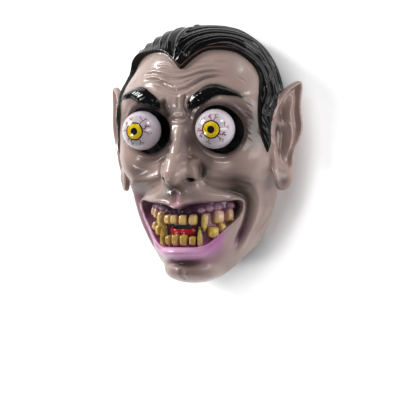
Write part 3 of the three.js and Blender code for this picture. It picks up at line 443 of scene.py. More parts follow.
# ------------------------------------------------------------------ ears
EAR_AT, EAR_E, EAR_N = (84.0, 54.0), (0.567, -0.824), (0.824, 0.567)
EARLINE = [(-12, 40), (1, 36), (5, 43), (10, 51.5), (15, 59), (21, 65), (28, 69.5), (33.4, 71.6), (37, 70.2), (38, 65), (37, 56), (36.3, 46), (37, 36), (38.2, 27), (37.2, 18), (34, 9), (30, 0.5), (28, -9), (27.8, -20), (26.8, -29), (23.6, -36.5), (17, -40), (11, -38.8), (7.4, -33), (5, -24), (3.4, -16), (2.2, -6), (0.6, 4), (-4, 13), (-12, 20)]
ear_map = Sheet((-32, -60), (60, 95), 0.5)
D_EAR = ear_map.area(EARLINE, 3, 26)
# ridge lines of the ear: inner fold from the tip down, and its branch
_d1, _t1, _ = ear_map.line([(28, 60), (26, 52), (24.2, 43), (23.6, 34), (25.2, 24), (25.4, 14), (23, 4), (19.6, -5), (17.5, -14)], 5, 14)
_d2, _t2, _ = ear_map.line([(24, 28), (19, 26), (13, 27.5), (7, 29)], 5, 14)
_d3, _t3, _ = ear_map.line([(4, 14), (6.5, 6), (9.5, 0), (11.5, -6), (9.5, -10)], 5, 14)
EAR_RIDGE = (4.0 * bell(_d1, 3.3) * smooth(0, 0.14, _t1) * smooth(1.02, 0.80, _t1)
             + 1.6 * bell(_d2, 3.0) * smooth(0, 0.1, _t2) * smooth(1.0, 0.6, _t2)
             + 3.0 * bell(_d3, 2.6) * smooth(0, 0.25, _t3) * smooth(1.0, 0.7, _t3)).astype(F32)

def ear_pq(x, z):
    dx, dz = x - EAR_AT[0], z - EAR_AT[1]
    return dx * EAR_E[0] + dz * EAR_E[1], dx * EAR_N[0] + dz * EAR_N[1]

def ear_x(X, y):
    """the wearer's right ear leans in below its middle"""
    return np.abs(X) + np.where(X < 0, 0.095 * np.clip(35 - y, 0, 80), 0)

def ear_bowl(p, y, k=1.0):
    """the hollow of the ear, with a shallower one above it"""
    return np.exp(-(((p - 14.5) / (5.6 * k)) ** 2) - (((y - 9) / (15 * k)) ** 4)) + 0.62 * np.exp(-(((p - 16.0) / (5.2 * k)) ** 2) - (((y - 38) / (9 * k)) ** 2))

def ear(x, y, z):
    p, q = ear_pq(x, z)
    d = ear_map.at(D_EAR, p, y)
    di = np.maximum(-d, 0)
    bend = 0.004 * np.maximum(p - 10, 0) ** 2
    bowl = ear_bowl(p, y)
    top = 1.8 + 1.9 * bell(di - 2.9, 2.7) * smooth(-20, -8, y)
    top = top - 3.2 * smooth(3.2, 7.0, di) * smooth(-22, -6, y)
    top = top + ear_map.at(EAR_RIDGE, p, y) - 6.0 * bowl + 2.6 * np.exp(-(((p - 17) / 8) ** 2) - (((y + 26) / 11) ** 2)) + bend
    bot = -2.8 - 2.4 * smooth(0, 9, di) - 7.2 * ear_bowl(p, y, 1.3) + bend
    far = np.hypot(np.maximum(p - 42, 0) + np.maximum(-14 - p, 0), np.maximum(y - 76, 0) + np.maximum(-41 - y, 0))
    f = smax(d, np.maximum(q - top, bot - q), 2.4)
    return np.where(far > 0, np.maximum(f, far), f)

# ------------------------------------------------------------------ the mouth
GUM_HALF, GUM_DEEP, DENT_HALF, DENT_DEEP = 51.5, 63.0, 53.5, 66.0
# middle across the arch, root y, tip y, width, stand out, lean
TEETH = [
    (-15.2, -65, -74.0, 8.2, 3.2, 0.3), (-7.4, -65.2, -74.2, 7.4, 3.3, 0.2), (2.6, -65, -74.8, 8.2, 3.4, 0), (12.9, -64.8, -74.8, 8.6, 3.4, -0.3),
    (24.4, -64.2, -81.4, 7.6, 4.4, -1.2), (-25.4, -61.5, -77, 5.8, 4.0, 0.6),
    (35.4, -60.6, -73.2, 11.0, 4.6, -0.4), (42.6, -59.0, -71.0, 8.0, 4.0, -0.4), (-32.5, -58.5, -68.5, 6.4, 4.0, 0.5), (-39.0, -57, -66, 6.0, 3.6, 0.5),
    (-14.2, -95.6, -86.0, 6.8, 2.9, -0.3), (-5.8, -96, -85.6, 7.4, 3.1, 0.2), (3.4, -96, -85.6, 7.8, 3.1, 0), (12.6, -95.6, -87.0, 7.4, 2.9, 0.4),
    (19.6, -97.2, -78.0, 6.0, 4.0, 0.2), (-21.6, -97, -76.6, 5.4, 4.0, -0.4),
    (31.2, -88.0, -77.4, 10.6, 4.6, 0.4), (37.4, -82.4, -73.8, 7.0, 4.2, 0.3), (-28.5, -86, -75.5, 6.4, 3.9, -0.4), (-35.0, -81, -72, 6.0, 3.6, -0.4),
]

def tooth_frame(tx):
    w = DENT_DEEP * math.sqrt(1 - (tx / DENT_HALF) ** 2)
    nx, nz = tx / DENT_HALF**2, w / DENT_DEEP**2
    l = math.hypot(nx, nz)
    return w, nx / l, nz / l

def teeth(x, y, z):
    """all the teeth, and how far up each one is from its root"""
    best = np.full(x.shape, 30, F32)
    place = np.zeros(x.shape, F32)
    flank = np.zeros(x.shape, F32)
    for tx, root, tip, width, out, lean in TEETH:
        w, nx, nz = tooth_frame(tx)
        dx, dz = x - tx, z - (AXIS_Z + w)
        s, o = dx * nz - dz * nx, dx * nx + dz * nz
        t = np.clip((y - root) / (tip - root), -0.2, 1.0)
        s = s - lean * np.maximum(t, 0) ** 2
        long = abs(tip - root) > 16
        tt = np.maximum(t, 0)
        hw = width / 2 * ((1 - 0.60 * tt**1.7) if long else (1.0 - 0.12 * (1 - tt) ** 2 - 0.04 * tt**4))
        ho = out * ((1 - 0.30 * tt) if long else (0.86 + 0.2 * np.sin(np.clip(tt, 0, 1) * 2.6)))
        hy, yy = abs(tip - root) / 2 + 0.4, y - (root + tip) / 2
        k = ((np.abs(s) / hw) ** 3.2 + (np.abs(o + 1.2) / (ho + 1.6)) ** 2.6 + (np.abs(yy) / hy) ** (3.0 if long else 4.4)) ** (1 / 3.0)
        f = np.maximum((k - 1) * np.minimum(np.minimum(hw, ho + 1.6), hy), np.abs(yy) - hy - 0.1)
        # a faint upright dent down the front
        f = f + 0.22 * bell(s - 0.12 * width, width * 0.13) * (o > 0)
        m = f < best
        best = np.where(m, f, best)
        place = np.where(m, t, place)
        flank = np.where(m, s / (width / 2) * (1 if tx > 18 else -1), flank)
    return best, place, flank

_ax = np.linspace(-60, 60, 961)
def _necks(upper, base):
    """gum line over the teeth: dips between them"""
    y = np.full(_ax.shape, float(base))
    v = np.zeros(_ax.shape)
    for tx, root, tip, width, out, lean in TEETH:
        if (tip < root) == upper:
            w = np.exp(-(((_ax - tx) / (width * 0.52)) ** 2))
            v = np.maximum(v, w)
    return v.astype(F32)
NECK_U, NECK_L = _necks(True, 0), _necks(False, 0)
GUM_U = spline([0, 20, 30, 42, 60], [-64.6, -63.6, -61.8, -59.2, -57.5])
GUM_L = spline([0, 20, 27, 36, 45, 60], [-93.6, -93.8, -90.2, -82.6, -73.5, -62])

def lookup(T, x):
    q = np.clip((x + 60) * 8, 0, 959.9)
    k = q.astype(np.int32)
    r = q - k
    return T[k] * (1 - r) + T[k + 1] * r

def gum(x, y, z):
    """floor of the open mouth, positive outside it"""
    deep = GUM_DEEP - 0.05 * np.maximum(0, -60 - y)
    f = arch(x, z, GUM_HALF, deep, 2)
    ax = np.abs(x)
    up, lo = lookup(NECK_U, x), lookup(NECK_L, x)
    yu, yl = GUM_U(ax) + 2.6 * (up - 0.6), GUM_L(ax) - 2.2 * (lo - 0.6)
    rise_u = smooth(-0.8, 1.2, y - yu) * (1.9 + 1.5 * (up - 0.5) * bell(y - yu - 2.4, 3.0))
    rise_l = smooth(-0.8, 1.2, yl - y) * (2.0 + 1.4 * (lo - 0.5) * bell(yl - y - 2.0, 2.6))
    # the round knobs high on the gum over the back teeth are joined on in moulding, from knobs()
    return f - rise_u - rise_l

KNOBS = [(28.2, -58.4, 2.6), (34.6, -57, 3.4), (43.4, -55.6, 3.4), (49.0, -55, 2.4), (-31.5, -56.5, 2.8), (-38.5, -55.5, 2.6), (-24.8, -58, 2.6), (21.0, -60.4, 2.2)]

def knobs(x, y, z):
    best = np.full(x.shape, 30, F32)
    for tx, ky, r in KNOBS:
        w, nx, nz = tooth_frame(tx)
        best = np.minimum(best, ellipsoid(x, y, z, (tx + nx * -0.6, ky, AXIS_Z + w - 0.6 * nz), (r * 1.35, r * 0.95, r * 1.15)))
    return best

def tongue(x, y, z):
    zt = AXIS_Z + (GUM_DEEP - 2.0) * np.sqrt(np.maximum(1 - (x / 60) ** 2, 0.1))
    w = np.maximum(np.abs(x) - 10.5, 0)
    r = np.sqrt(w * w * 0.8 + ((y + 82.0 - 0.004 * x * x) / 1.06) ** 2 + (z - zt + 0.4) ** 2) - 4.1 + 1.3 * smooth(6, 13, np.abs(x))
    groove = 0.7 * bell(x, 2.2) * (z > zt - 0.5)
    lip = 0.4 * bell(y + 79.2, 1.2) * (np.abs(x) < 12)
    return r + groove - lip

rimZ = spline([-140, -134, -128, -119, -105, -97, -90, -84, -70, 140], [46, 45, 42.5, 39.5, 31, 19, 6, 0, 0, 0])

def gaze(x, y, z):
    dx, dy, dz = x - BALL_AT[0], y - BALL_AT[1], z - BALL_AT[2]
    along = dx * math.sin(GAZE) + dz * math.cos(GAZE)
    return np.sqrt(np.maximum(dx * dx + dy * dy + dz * dz - along * along, 0)), along

def socket_reach(X, y):
    """how much wider the socket is on the side where its lid stands back"""
    dx, dy = np.abs(X) - BALL_AT[0], y - BALL_AT[1]
    l = np.sqrt(dx * dx + dy * dy) + 1e-6
    left = 3.0 * smooth(0.0, 1.0, (0.72 * dx - 0.69 * dy) / l)
    right = 3.8 * smooth(-0.1, 1.0, (-0.90 * dx - 0.43 * dy) / l)
    left = left - 2.2 * smooth(0.3, 1.0, (-0.50 * dx - 0.87 * dy) / l)
    right = right - 3.0 * smooth(0.1, 0.9, (0.10 * dx - 0.99 * dy) / l)
    return np.where(X > 0, left, right)

# ------------------------------------------------------------------ the whole moulding
def unroll(x, z):
    return np.arctan2(x, z - CORE_Z) * ROUND

def moulding(X, y, z, parts=False):
    """negative inside the material. With parts, also what each spot belongs to."""
    x = np.abs(X)
    bare = skin(x, y, z)
    u = unroll(X, z)
    r, along = gaze(x, y, z)
    r = r - socket_reach(X, y)
    lids = 1.6 * bell(r - 27.5, 3.5) * smooth(-30, -10, along)
    front = smooth(-60, -10, z)                         # a fade toward the rear rim; nothing in moulding uses it
    form = face_map.at(BROAD, u, y)
    closed = bare - form - lids
    f = bare - face_map.at(RELIEF, u, y) - lids
    # lids: a fine rim round each socket
    f = f - 0.7 * bell(r - 24.6, 1.1) * smooth(-24, -12, along)
    dh = -face_map.at(D_HAIR, u, y)
    hairy = dh > -1.5
    lift = np.zeros(x.shape, F32)
    if hairy.any():
        h = dh[hairy]
        full = 0.45 + 0.55 * smooth(40, 84, y[hairy])
        full = np.where(X[hairy] < 0, np.maximum(full, 0.9 * smooth(20, 34, y[hairy])), full)
        full = full * (1 - 0.65 * smooth(90, 115, np.abs(u[hairy]))) * (1 - 0.4 * smooth(112, 128, y[hairy]) * smooth(-25, 0, X[hairy]))
        full = full + 0.85 * np.exp(-(((y[hairy] - 99) / 13) ** 2)) * smooth(-48, -70, u[hairy])
        lift[hairy] = HAIR_LIFT * full * smooth(-0.5, 3.0, h) + hair_relief(X[hairy], y[hairy], z[hairy], h) * 0.9
    root = ellipsoid(x, y, z, (72.5, 8, 30), (14, 34, 27))
    f = smin(f, root, 12) - lift
    db = -face_map.at(D_BROW, u, y)
    brows = db > -1.2
    if brows.any():
        b, uu, yy = db[brows], np.abs(u[brows]), y[brows]
        stroke = saw((uu * 0.5 + yy * 0.8 + 1.6 * value_noise(uu, yy, 0 * uu, 8.0, 3)) / 3.4)
        f[brows] -= BROW_LIFT * smooth(-0.8, 5.0, b) + 0.22 * (stroke - 0.7) * smooth(1.5, 4.0, b)
    # ears on rounded roots
    e = ear(ear_x(X, y), y, z)
    f = smin(f, e, 5)
    # open mouth
    dm = face_map.at(D_MOUTH, u, y) + 60 * (z < 30)
    g = gum(X, y, z)
    f = smax(f, -np.maximum(dm, -g), 1.3)
    tf, tp, tfl = teeth(X, y, z)
    kf = knobs(X, y, z)
    tg = tongue(X, y, z)
    zone = (dm < 6) & (z > 40)
    f = np.where(zone, smin(f, kf, 2.4), f)
    f = np.where(zone, smin(f, tf, 0.9 + 1.5 * smooth(22, 32, x)), f)
    f = np.where(zone, smin(f, tg, 1.4), f)
    # sockets
    f = smax(f, -np.maximum(r - SOCKET_R, -SEAT - along), 1.4)
    # the hollow
    void = closed + WALL
    void = np.maximum(void, -np.maximum(r - SOCKET_R - WALL, -SEAT - WALL - along))
    void = np.maximum(void, -np.maximum(dm - WALL - 1.0, -g - WALL - 1.6))
    f = smax(f, -void, 0.6)
    # through holes
    k = ((X / 10.5) ** 4 + ((y + 77.3) / 2.1) ** 4 + 1e-9) ** 0.25
    slot = np.maximum((k - 1) * 2.2, 45 - z)
    f = smax(f, -slot, 0.5)
    ny = -18.3 - 15.8 * (z - 52) / 58
    nk = np.sqrt(((x - 14.2) / 3.9) ** 2 + ((y - ny) / 2.6) ** 2)
    f = smax(f, -np.maximum((nk - 1) * 2.6, 58 - z), 0.8)
    o = 15.5 * math.sqrt(0.5)
    sx = x - (BALL_AT[0] - o) - math.sin(GAZE) * along
    sight = np.maximum(np.hypot(sx, y - BALL_AT[1] + o) - 4.5, along + 12)
    f = np.maximum(f, -sight)
    # rear edge
    f = smax(f, (np.maximum(rimZ(y), 0) - z) * 0.8, 0.8)
    if not parts:
        return f
    return dict(f=f, u=u, dh=dh, db=db, dm=dm, g=g, tf=tf, tp=tp, tfl=tfl, kf=kf, tg=tg, r=r, along=along, void=void, slot=slot, nk=nk, ear=e, x=x, closed=closed)

def in_chunks(fn, P, size=120000):
    """fn over rows of P on all cores, in a fixed order"""
    parts = [P[i:i + size] for i in range(0, len(P), size)]
    with ThreadPoolExecutor(4) as pool:
        return list(pool.map(fn, parts))

def field(P):
    return np.concatenate(in_chunks(lambda Q: moulding(Q[:, 0], Q[:, 1], Q[:, 2]).astype(F32), P))

# ------------------------------------------------------------------ surface from the field
def surface(h, block=4):
    lo = np.array([-114.0, -137.0, -2.5])
    hi = np.array([114.0, 137.0, 113.5])
    n = (np.ceil((hi - lo) / h / block).astype(int)) * block
    nb = n // block
    c = [lo[k] + (np.arange(nb[k]) * block + (block - 1) / 2) * h for k in range(3)]
    G = np.stack(np.meshgrid(*c, indexing="ij"), -1).reshape(-1, 3).astype(F32)
    fc = field(G)
    vol = np.repeat(np.repeat(np.repeat(fc.reshape(nb), block, 0), block, 1), block, 2)
    live = np.where(np.abs(fc) < 0.87 * block * h * 1.25 + 0.8)[0]
    off = np.stack(np.meshgrid(*[np.arange(block)] * 3, indexing="ij"), -1).reshape(-1, 3)
    bi = np.stack(np.unravel_index(live, nb), -1)
    idx = (bi[:, None, :] * block + off[None]).reshape(-1, 3)
    vals = field((lo + idx * h).astype(F32))
    vol[idx[:, 0], idx[:, 1], idx[:, 2]] = vals
    vol[[0, -1]] = 9; vol[:, [0, -1]] = 9; vol[:, :, [0, -1]] = 9
    # surface nets: one corner per cell that the surface crosses, a face for each crossed edge
    neg = vol < 0
    cells, places, ends = [], [], []
    dims = np.array(vol.shape)
    stride = np.array([dims[1] * dims[2], dims[2], 1])
    quads = []
    for a in range(3):
        s0 = [slice(None)] * 3; s1 = [slice(None)] * 3
        s0[a], s1[a] = slice(0, -1), slice(1, None)
        cross = neg[tuple(s0)] != neg[tuple(s1)]
        e = np.stack(np.nonzero(cross), -1)
        v0 = vol[e[:, 0], e[:, 1], e[:, 2]]
        e1 = e.copy(); e1[:, a] += 1
        v1 = vol[e1[:, 0], e1[:, 1], e1[:, 2]]
        p = e.astype(np.float64); p[:, a] += v0 / (v0 - v1)
        b, c2 = (a + 1) % 3, (a + 2) % 3
        ring = []
        for db_, dc_ in ((0, 0), (1, 0), (1, 1), (0, 1)):
            q = e.copy(); q[:, b] -= db_; q[:, c2] -= dc_
            ring.append(q @ stride)
            cells.append(q @ stride); places.append(p)
        ring = np.stack(ring, -1)
        flip = v0 < 0
        ring[flip] = ring[flip][:, ::-1]
        quads.append(ring[:, ::-1])
    cells = np.concatenate(cells); places = np.concatenate(places)
    ids, inv = np.unique(cells, return_inverse=True)
    cnt = np.bincount(inv).astype(float)
    P = np.stack([np.bincount(inv, places[:, k]) / cnt for k in range(3)], -1)
    Q = np.searchsorted(ids, np.concatenate(quads))
    return (lo + P * h), Q

def slope(P, eps=0.35):
    """gradient of the field"""
    g = np.empty_like(P)
    for k in range(3):
        d = np.zeros(3); d[k] = eps
        g[:, k] = (field((P + d).astype(F32)) - field((P - d).astype(F32))) / (2 * eps)
    return g

def settle(P, rounds=2, most=0.45):
    for _ in range(rounds):
        f = field(P.astype(F32)).astype(float)
        g = slope(P)
        l2 = np.maximum((g * g).sum(1), 0.15)
        m = -g * (f / l2)[:, None]
        l = np.linalg.norm(m, axis=1, keepdims=True)
        P = P + m * np.minimum(1, most / np.maximum(l, 1e-9))
    return P

def beside(P, F):
    """mean place of the corners next to each corner"""
    E = np.concatenate([F[:, [k, (k + 1) % F.shape[1]]] for k in range(F.shape[1])])
    a, b = np.concatenate([E[:, 0], E[:, 1]]), np.concatenate([E[:, 1], E[:, 0]])
    n = np.maximum(np.bincount(a, minlength=len(P)), 1)
    return np.stack([np.bincount(a, P[b, k], minlength=len(P)) / n for k in range(3)], -1)

def untangle(P, T, rounds=7):
    """smooths out triangles that have folded over"""
    P = P.copy()
    for _ in range(rounds):
        N = np.cross(P[T[:, 1]] - P[T[:, 0]], P[T[:, 2]] - P[T[:, 0]])
        g = slope(P[T].mean(1), 0.3) if _ == 0 else g
        bad = (N * g).sum(1) < 0.25 * np.linalg.norm(N, axis=1) * np.linalg.norm(g, axis=1)
        if not bad.any():
            break
        v = np.unique(T[bad])
        P[v] += 0.8 * (beside(P, T)[v] - P[v])
        P[v] = settle(P[v], 1, 0.3)
    return P

# ------------------------------------------------------------------ mesh making
def whole(P, Q):
    """only the faces of the largest connected piece"""
    n = len(P)
    E = np.concatenate([Q[:, [k, (k + 1) % Q.shape[1]]] for k in range(Q.shape[1])])
    lab = np.arange(n)
    while True:
        a, b = lab[E[:, 0]], lab[E[:, 1]]
        lo, hi = np.minimum(a, b), np.maximum(a, b)
        if (lo == hi).all():
            break
        np.minimum.at(lab, hi, lo)
        while True:
            nxt = lab[lab]
            if (nxt == lab).all():
                break
            lab = nxt
    keep = lab == np.bincount(lab).argmax()
    new = np.cumsum(keep) - 1
    return P[keep], new[Q[keep[Q[:, 0]]]]

def mesh_of(name, P, F):
    """a Blender mesh in metres from millimetres"""
    me = bpy.data.meshes.new(name)
    k = F.shape[1]
    me.vertices.add(len(P))
    me.vertices.foreach_set("co", (P * 0.001).astype(F32).ravel())
    me.loops.add(F.size)
    me.loops.foreach_set("vertex_index", F.astype(np.int32).ravel())
    me.polygons.add(len(F))
    me.polygons.foreach_set("loop_start", np.arange(0, F.size, k, dtype=np.int32))
    me.update(calc_edges=True)
    me.validate()
    return me

def place(name, me):
    ob = bpy.data.objects.new(name, me)
    bpy.context.scene.collection.objects.link(ob)
    return ob

def unit(v):
    return v / np.maximum(np.linalg.norm(v, axis=1, keepdims=True), 1e-9)

def lighten(me, target):
    """the mesh brought down to a number of triangles, as arrays"""
    ob = place("work", me)
    tris = sum(len(p.vertices) - 2 for p in me.polygons) if len(me.polygons) < 1000 else int(2 * len(me.polygons))
    m = ob.modifiers.new("fewer", "DECIMATE")
    m.ratio = min(1.0, target / tris)
    out = bpy.data.meshes.new_from_object(ob.evaluated_get(bpy.context.evaluated_depsgraph_get()))
    bpy.data.objects.remove(ob)
    bpy.data.meshes.remove(me)
    P = np.empty(len(out.vertices) * 3, F32)
    out.vertices.foreach_get("co", P)
    out.calc_loop_triangles()
    T = np.empty(len(out.loop_triangles) * 3, np.int32)
    out.loop_triangles.foreach_get("vertices", T)
    bpy.data.meshes.remove(out)
    return P.reshape(-1, 3).astype(float) * 1000, T.reshape(-1, 3)

def put(me, name, values):
    values = np.asarray(values)
    if values.ndim == 1:
        a = me.attributes.new(name, "FLOAT", "POINT")
        a.data.foreach_set("value", values.astype(F32))
    else:
        a = me.attributes.new(name, "FLOAT_COLOR", "POINT")
        rgba = np.ones((len(values), 4), F32)
        rgba[:, :3] = values
        a.data.foreach_set("color", rgba.ravel())

def lin(r, g, b):
    """screen colour 0-255 to linear"""
    return np.array([(c / 255 / 12.92) if c / 255 <= 0.04045 else ((c / 255 + 0.055) / 1.055) ** 2.4 for c in (r, g, b)])

def coat(base, amount, colour):
    """spray a colour over another"""
    a = np.clip(amount, 0, 1)[:, None]
    return base * (1 - a) + np.asarray(colour)[None, :] * a

# ------------------------------------------------------------------ paint of the moulding
SKIN, SKIN_WARM, SKIN_COOL = lin(170, 148, 140), lin(172, 142, 133), lin(160, 142, 137)
BROWN, UMBER = lin(70, 49, 44), lin(38, 25, 24)
PURPLE, MAGENTA, PINK, PLUM = lin(120, 62, 104), lin(176, 88, 158), lin(205, 130, 172), lin(52, 26, 44)
GUM_PINK, OCHRE, OLIVE, TOOTH_ROOT = lin(176, 96, 138), lin(214, 178, 84), lin(160, 128, 52), lin(206, 160, 150)
RED, RED_DARK = lin(168, 22, 26), lin(84, 8, 14)

def spot(u, y, cu, cy, ru, ry, turn=0.0):
    c, s = math.cos(math.radians(turn)), math.sin(math.radians(turn))
    a, b = (u - cu) * c + (y - cy) * s, (y - cy) * c - (u - cu) * s
    return np.exp(-((a / ru) ** 2) - ((b / ry) ** 2))

HOLLOWS = blurred(blurred(RELIEF, 7), 7) - RELIEF        # positive in creases

def paint(P):
    X, y, z = P[:, 0].astype(F32), P[:, 1].astype(F32), P[:, 2].astype(F32)
    d = moulding(X, y, z, parts=True)
    u, au, x = d["u"], np.abs(d["u"]), d["x"]
    near = X > 0
    r, along = d["r"], d["along"]
    front = smooth(0, 25, z)
    # skin, then brown and purple spray; the brown also carries painted shade at some places
    tone = 0.5 + 0.5 * value_noise(X, y, z, 26.0, 41)
    c = SKIN[None, :] * (1 - 0.35 * tone[:, None]) + SKIN_COOL[None, :] * (0.35 * tone[:, None])
    warm = spot(u, y, 0, -22, 14, 12) * 0.5 + spot(au, y, 50, -8, 22, 16) * 0.3 + spot(u, y, 0, -122, 26, 10) * 0.25
    e_on = np.abs(d["ear"]) < 3
    warm = np.maximum(warm, e_on * 0.45)
    c = coat(c, warm, SKIN_WARM)
    groove = face_map.at(HOLLOWS, u, y)
    brown_spray_and_shade = 0.8 * face_map.at(DARK, u, y) + 0.30 * smooth(0.15, 2.0, groove) * front
    eye = (along > -34) & (z > 20)
    brown_spray_and_shade = brown_spray_and_shade + np.where(eye, 0.85 * bell(np.maximum(r - 22.5, 0), 4.6) + 0.35 * bell(np.maximum(r - 24, 0), 10), 0)
    brown_spray_and_shade = brown_spray_and_shade + 0.55 * spot(au, y, 14.5, 40, 6, 10, 0) + 0.35 * spot(au, y, 20, 46, 7, 6) + 0.30 * spot(u, y, -34, 48, 16, 5, -14)
    brown_spray_and_shade = brown_spray_and_shade + 0.45 * spot(au, y, 25, -17, 6, 8) * np.where(near, 1.0, 0.3) + 0.25 * spot(au, y, 12, 12, 4, 22)
    brown_spray_and_shade = brown_spray_and_shade + 0.50 * spot(u, y, 72, 16, 8, 22) * (X > 0) + 0.35 * spot(u, y, 62, 30, 10, 12) * (X > 0) + 0.30 * spot(u, y, -22, 40, 9, 9)
    fs, ft = face_map.at(FOLD_S, u, y), face_map.at(FOLD_T, u, y)
    ends = smooth(0.02, 0.40, ft) * smooth(1.0, 0.80, ft)
    brown_spray_and_shade = brown_spray_and_shade + (0.62 * ends * bell(fs - 6.4, 3.6) + 0.16 * ends * bell(fs - 9, 9)) * np.where(near, 1.0, 0.55)
    # painted shade beside the near nose wing and under the cheek, where the fold begins
    brown_spray_and_shade = brown_spray_and_shade + 0.42 * spot(au, y, 29, -22, 6, 9, -20) * near + 0.22 * spot(au, y, 42, -26, 14, 5, -14) * near
    plane = smooth(3, -5, fs) * smooth(-44, -36, fs) * smooth(-22, -32, y) * smooth(-62, -54, y)   # over the upper lip
    brown_spray_and_shade = brown_spray_and_shade + plane * (0.30 + 0.14 * smooth(34, 6, au)) * np.where(near, 1.0, 0.6)
    # painted shade under the near cheek's bulge, above the fold
    brown_spray_and_shade = brown_spray_and_shade + near * (0.85 * spot(u, y, 65, -34, 14, 8, -32) + 0.20 * spot(u, y, 48, -24, 12, 5, -15))
    # painted shade under the chin (8, -122), in the far cheek under the cheekbone (-53, -20), under the nose tip (-2,
    # -37) and over the near forehead (32, 74) and (60, 62); darker paint at the temples, under the lower lip, over the
    # upper lip and on the near jaw
    brown_spray_and_shade = brown_spray_and_shade + 0.36 * spot(au, y, 58, 34, 11, 28) + 0.26 * spot(u, y, 0, -108, 40, 6) + 0.50 * spot(u, y, 3, -46, 38, 8.5) + 0.42 * spot(u, y, 8, -122, 30, 9) + 0.12 * spot(u, y, 60, 62, 14, 16) + 0.26 * spot(u, y, 32, 74, 30, 20) + 0.52 * spot(u, y, -53, -20, 13, 9, 15) + 0.55 * spot(u, y, -2, -37, 14, 6) + 0.16 * spot(u, y, 84, -92, 12, 22, -25)
    # painted shadow under the nose tip, on the far side
    brown_spray_and_shade = brown_spray_and_shade + 0.40 * spot(u, y, -9, -42, 7, 6)
    brown_spray_and_shade = brown_spray_and_shade + 0.22 * spot(u, y, -66, -40, 12, 10) + 0.20 * spot(u, y, -58, -30, 18, 5, 20)
    brown_spray_and_shade = brown_spray_and_shade + 0.5 * bell(np.maximum(np.hypot((x - 14.2), (y + 29.8)) - 4, 0), 2.6) * (z > 70)
    brown_spray_and_shade = brown_spray_and_shade + 0.30 * spot(u, y, 0, -113.4, 30, 4.2)
    brown_spray_and_shade = brown_spray_and_shade + 0.34 * np.exp(-((np.maximum(-d["dh"], 0) / 3.4) ** 2)) * (d["dh"] < 1) * front * smooth(1.0, 4.0, d["ear"])
    brown_spray_and_shade = brown_spray_and_shade + 0.35 * np.exp(-((np.maximum(-d["db"], 0) / 1.6) ** 2)) * (d["db"] > -8)
    # ears: bowl and grooves
    p, q = ear_pq(ear_x(X, y), z)
    bowl = np.clip(ear_bowl(p, y, 1.1), 0, 1)
    di = np.maximum(-ear_map.at(D_EAR, p, y), 0)
    dip = smooth(3.0, 6.5, di) * (1 - np.clip(ear_map.at(EAR_RIDGE, p, y) / 2.0, 0, 1))
    top_side = smooth(-3.2, -0.5, q + 6.4 * bowl)
    brown_spray_and_shade = brown_spray_and_shade + e_on * (0.04 + top_side * (0.50 * bowl + 0.24 * dip + 0.80 * spot(p, y, 10.0, 20, 2.6, 9) + 0.25 * spot(p, y, 17, 32, 5, 7) + 0.12 * spot(p, y, 15, -27, 6, 9)))
    brown_spray_and_shade = np.clip(brown_spray_and_shade, 0, 0.97)
    # purple over folds, lips and the lower cheeks
    plum = 0.55 * ends * smooth(0.55, 0.9, ft) * bell(fs - 5, 5.5)
    tl = face_map.at(T_LIP, u, y)
    lip = 7.6 * (1 - 0.75 * tl) - face_map.at(D_LIP, u, y)        # positive on the lower lip
    pink = 0.55 * bell(np.maximum(-lip, 0), 4.5) * (face_map.at(D_LIP, u, y) < 15) * smooth(-50, -62, y) * np.where(near, smooth(0.85, 0.5, tl), 1.0)
    pink = pink + 0.34 * spot(u, y, 44, -98, 9, 9) + 0.30 * ends * near * smooth(0.55, 0.8, ft) * bell(fs - 6, 4) + 0.62 * spot(u, y, -64, -66, 10, 34, 14) + 0.42 * spot(u, y, -78, -72, 8, 30, 10)
    pink = pink + 0.40 * spot(u, y, 69, -86, 6, 16, -25) + 0.30 * spot(u, y, 40, -108, 12, 6, 25)
    c = coat(c, np.clip(pink, 0, 0.8) * front, lin(168, 100, 148))
    c = coat(c, brown_spray_and_shade * 0.5, BROWN)
    c = coat(c, np.clip(brown_spray_and_shade - 0.25, 0, 1) * 1.15, UMBER)
    c = coat(c, np.clip(plum, 0, 0.7), PURPLE * 0.55)
    # upper lip edge
    up = bell(d["dm"] - 1.0, 1.9) * (y > -64) * smooth(64, 46, au)
    c = coat(c, 0.75 * up * np.where(near, 1.0, 0.8), lin(96, 50, 78))
    bow = np.exp(-(((u - 0.6) / (2.4 + 0.20 * np.clip(-40 - y, 0, 20))) ** 2)) * smooth(-38, -50, y) * smooth(-66, -58, y)
    c = coat(c, 0.62 * bow, lin(198, 146, 160))
    # lower lip
    on = smooth(-0.8, 1.6, lip) * (y < -56)
    body = lin(214, 158, 198)[None, :] * (1 - smooth(8, 46, au)[:, None]) + lin(178, 98, 164)[None, :] * smooth(8, 46, au)[:, None]
    a = (0.92 * on * np.where(near, smooth(0.80, 0.50, tl), smooth(0.98, 0.66, tl)))[:, None]
    c = c * (1 - a) + body * a
    # inside the mouth
    dm = d["dm"]
    high = smooth(-60, -66, y)                                                          # 0 upper gum, 1 below
    mc = PLUM[None, :] * np.ones((len(P), 1))
    upper = y > GUM_U(x.clip(0, 60)) - 1.2
    lower = (y < GUM_L(x.clip(0, 60)) + 1.6)
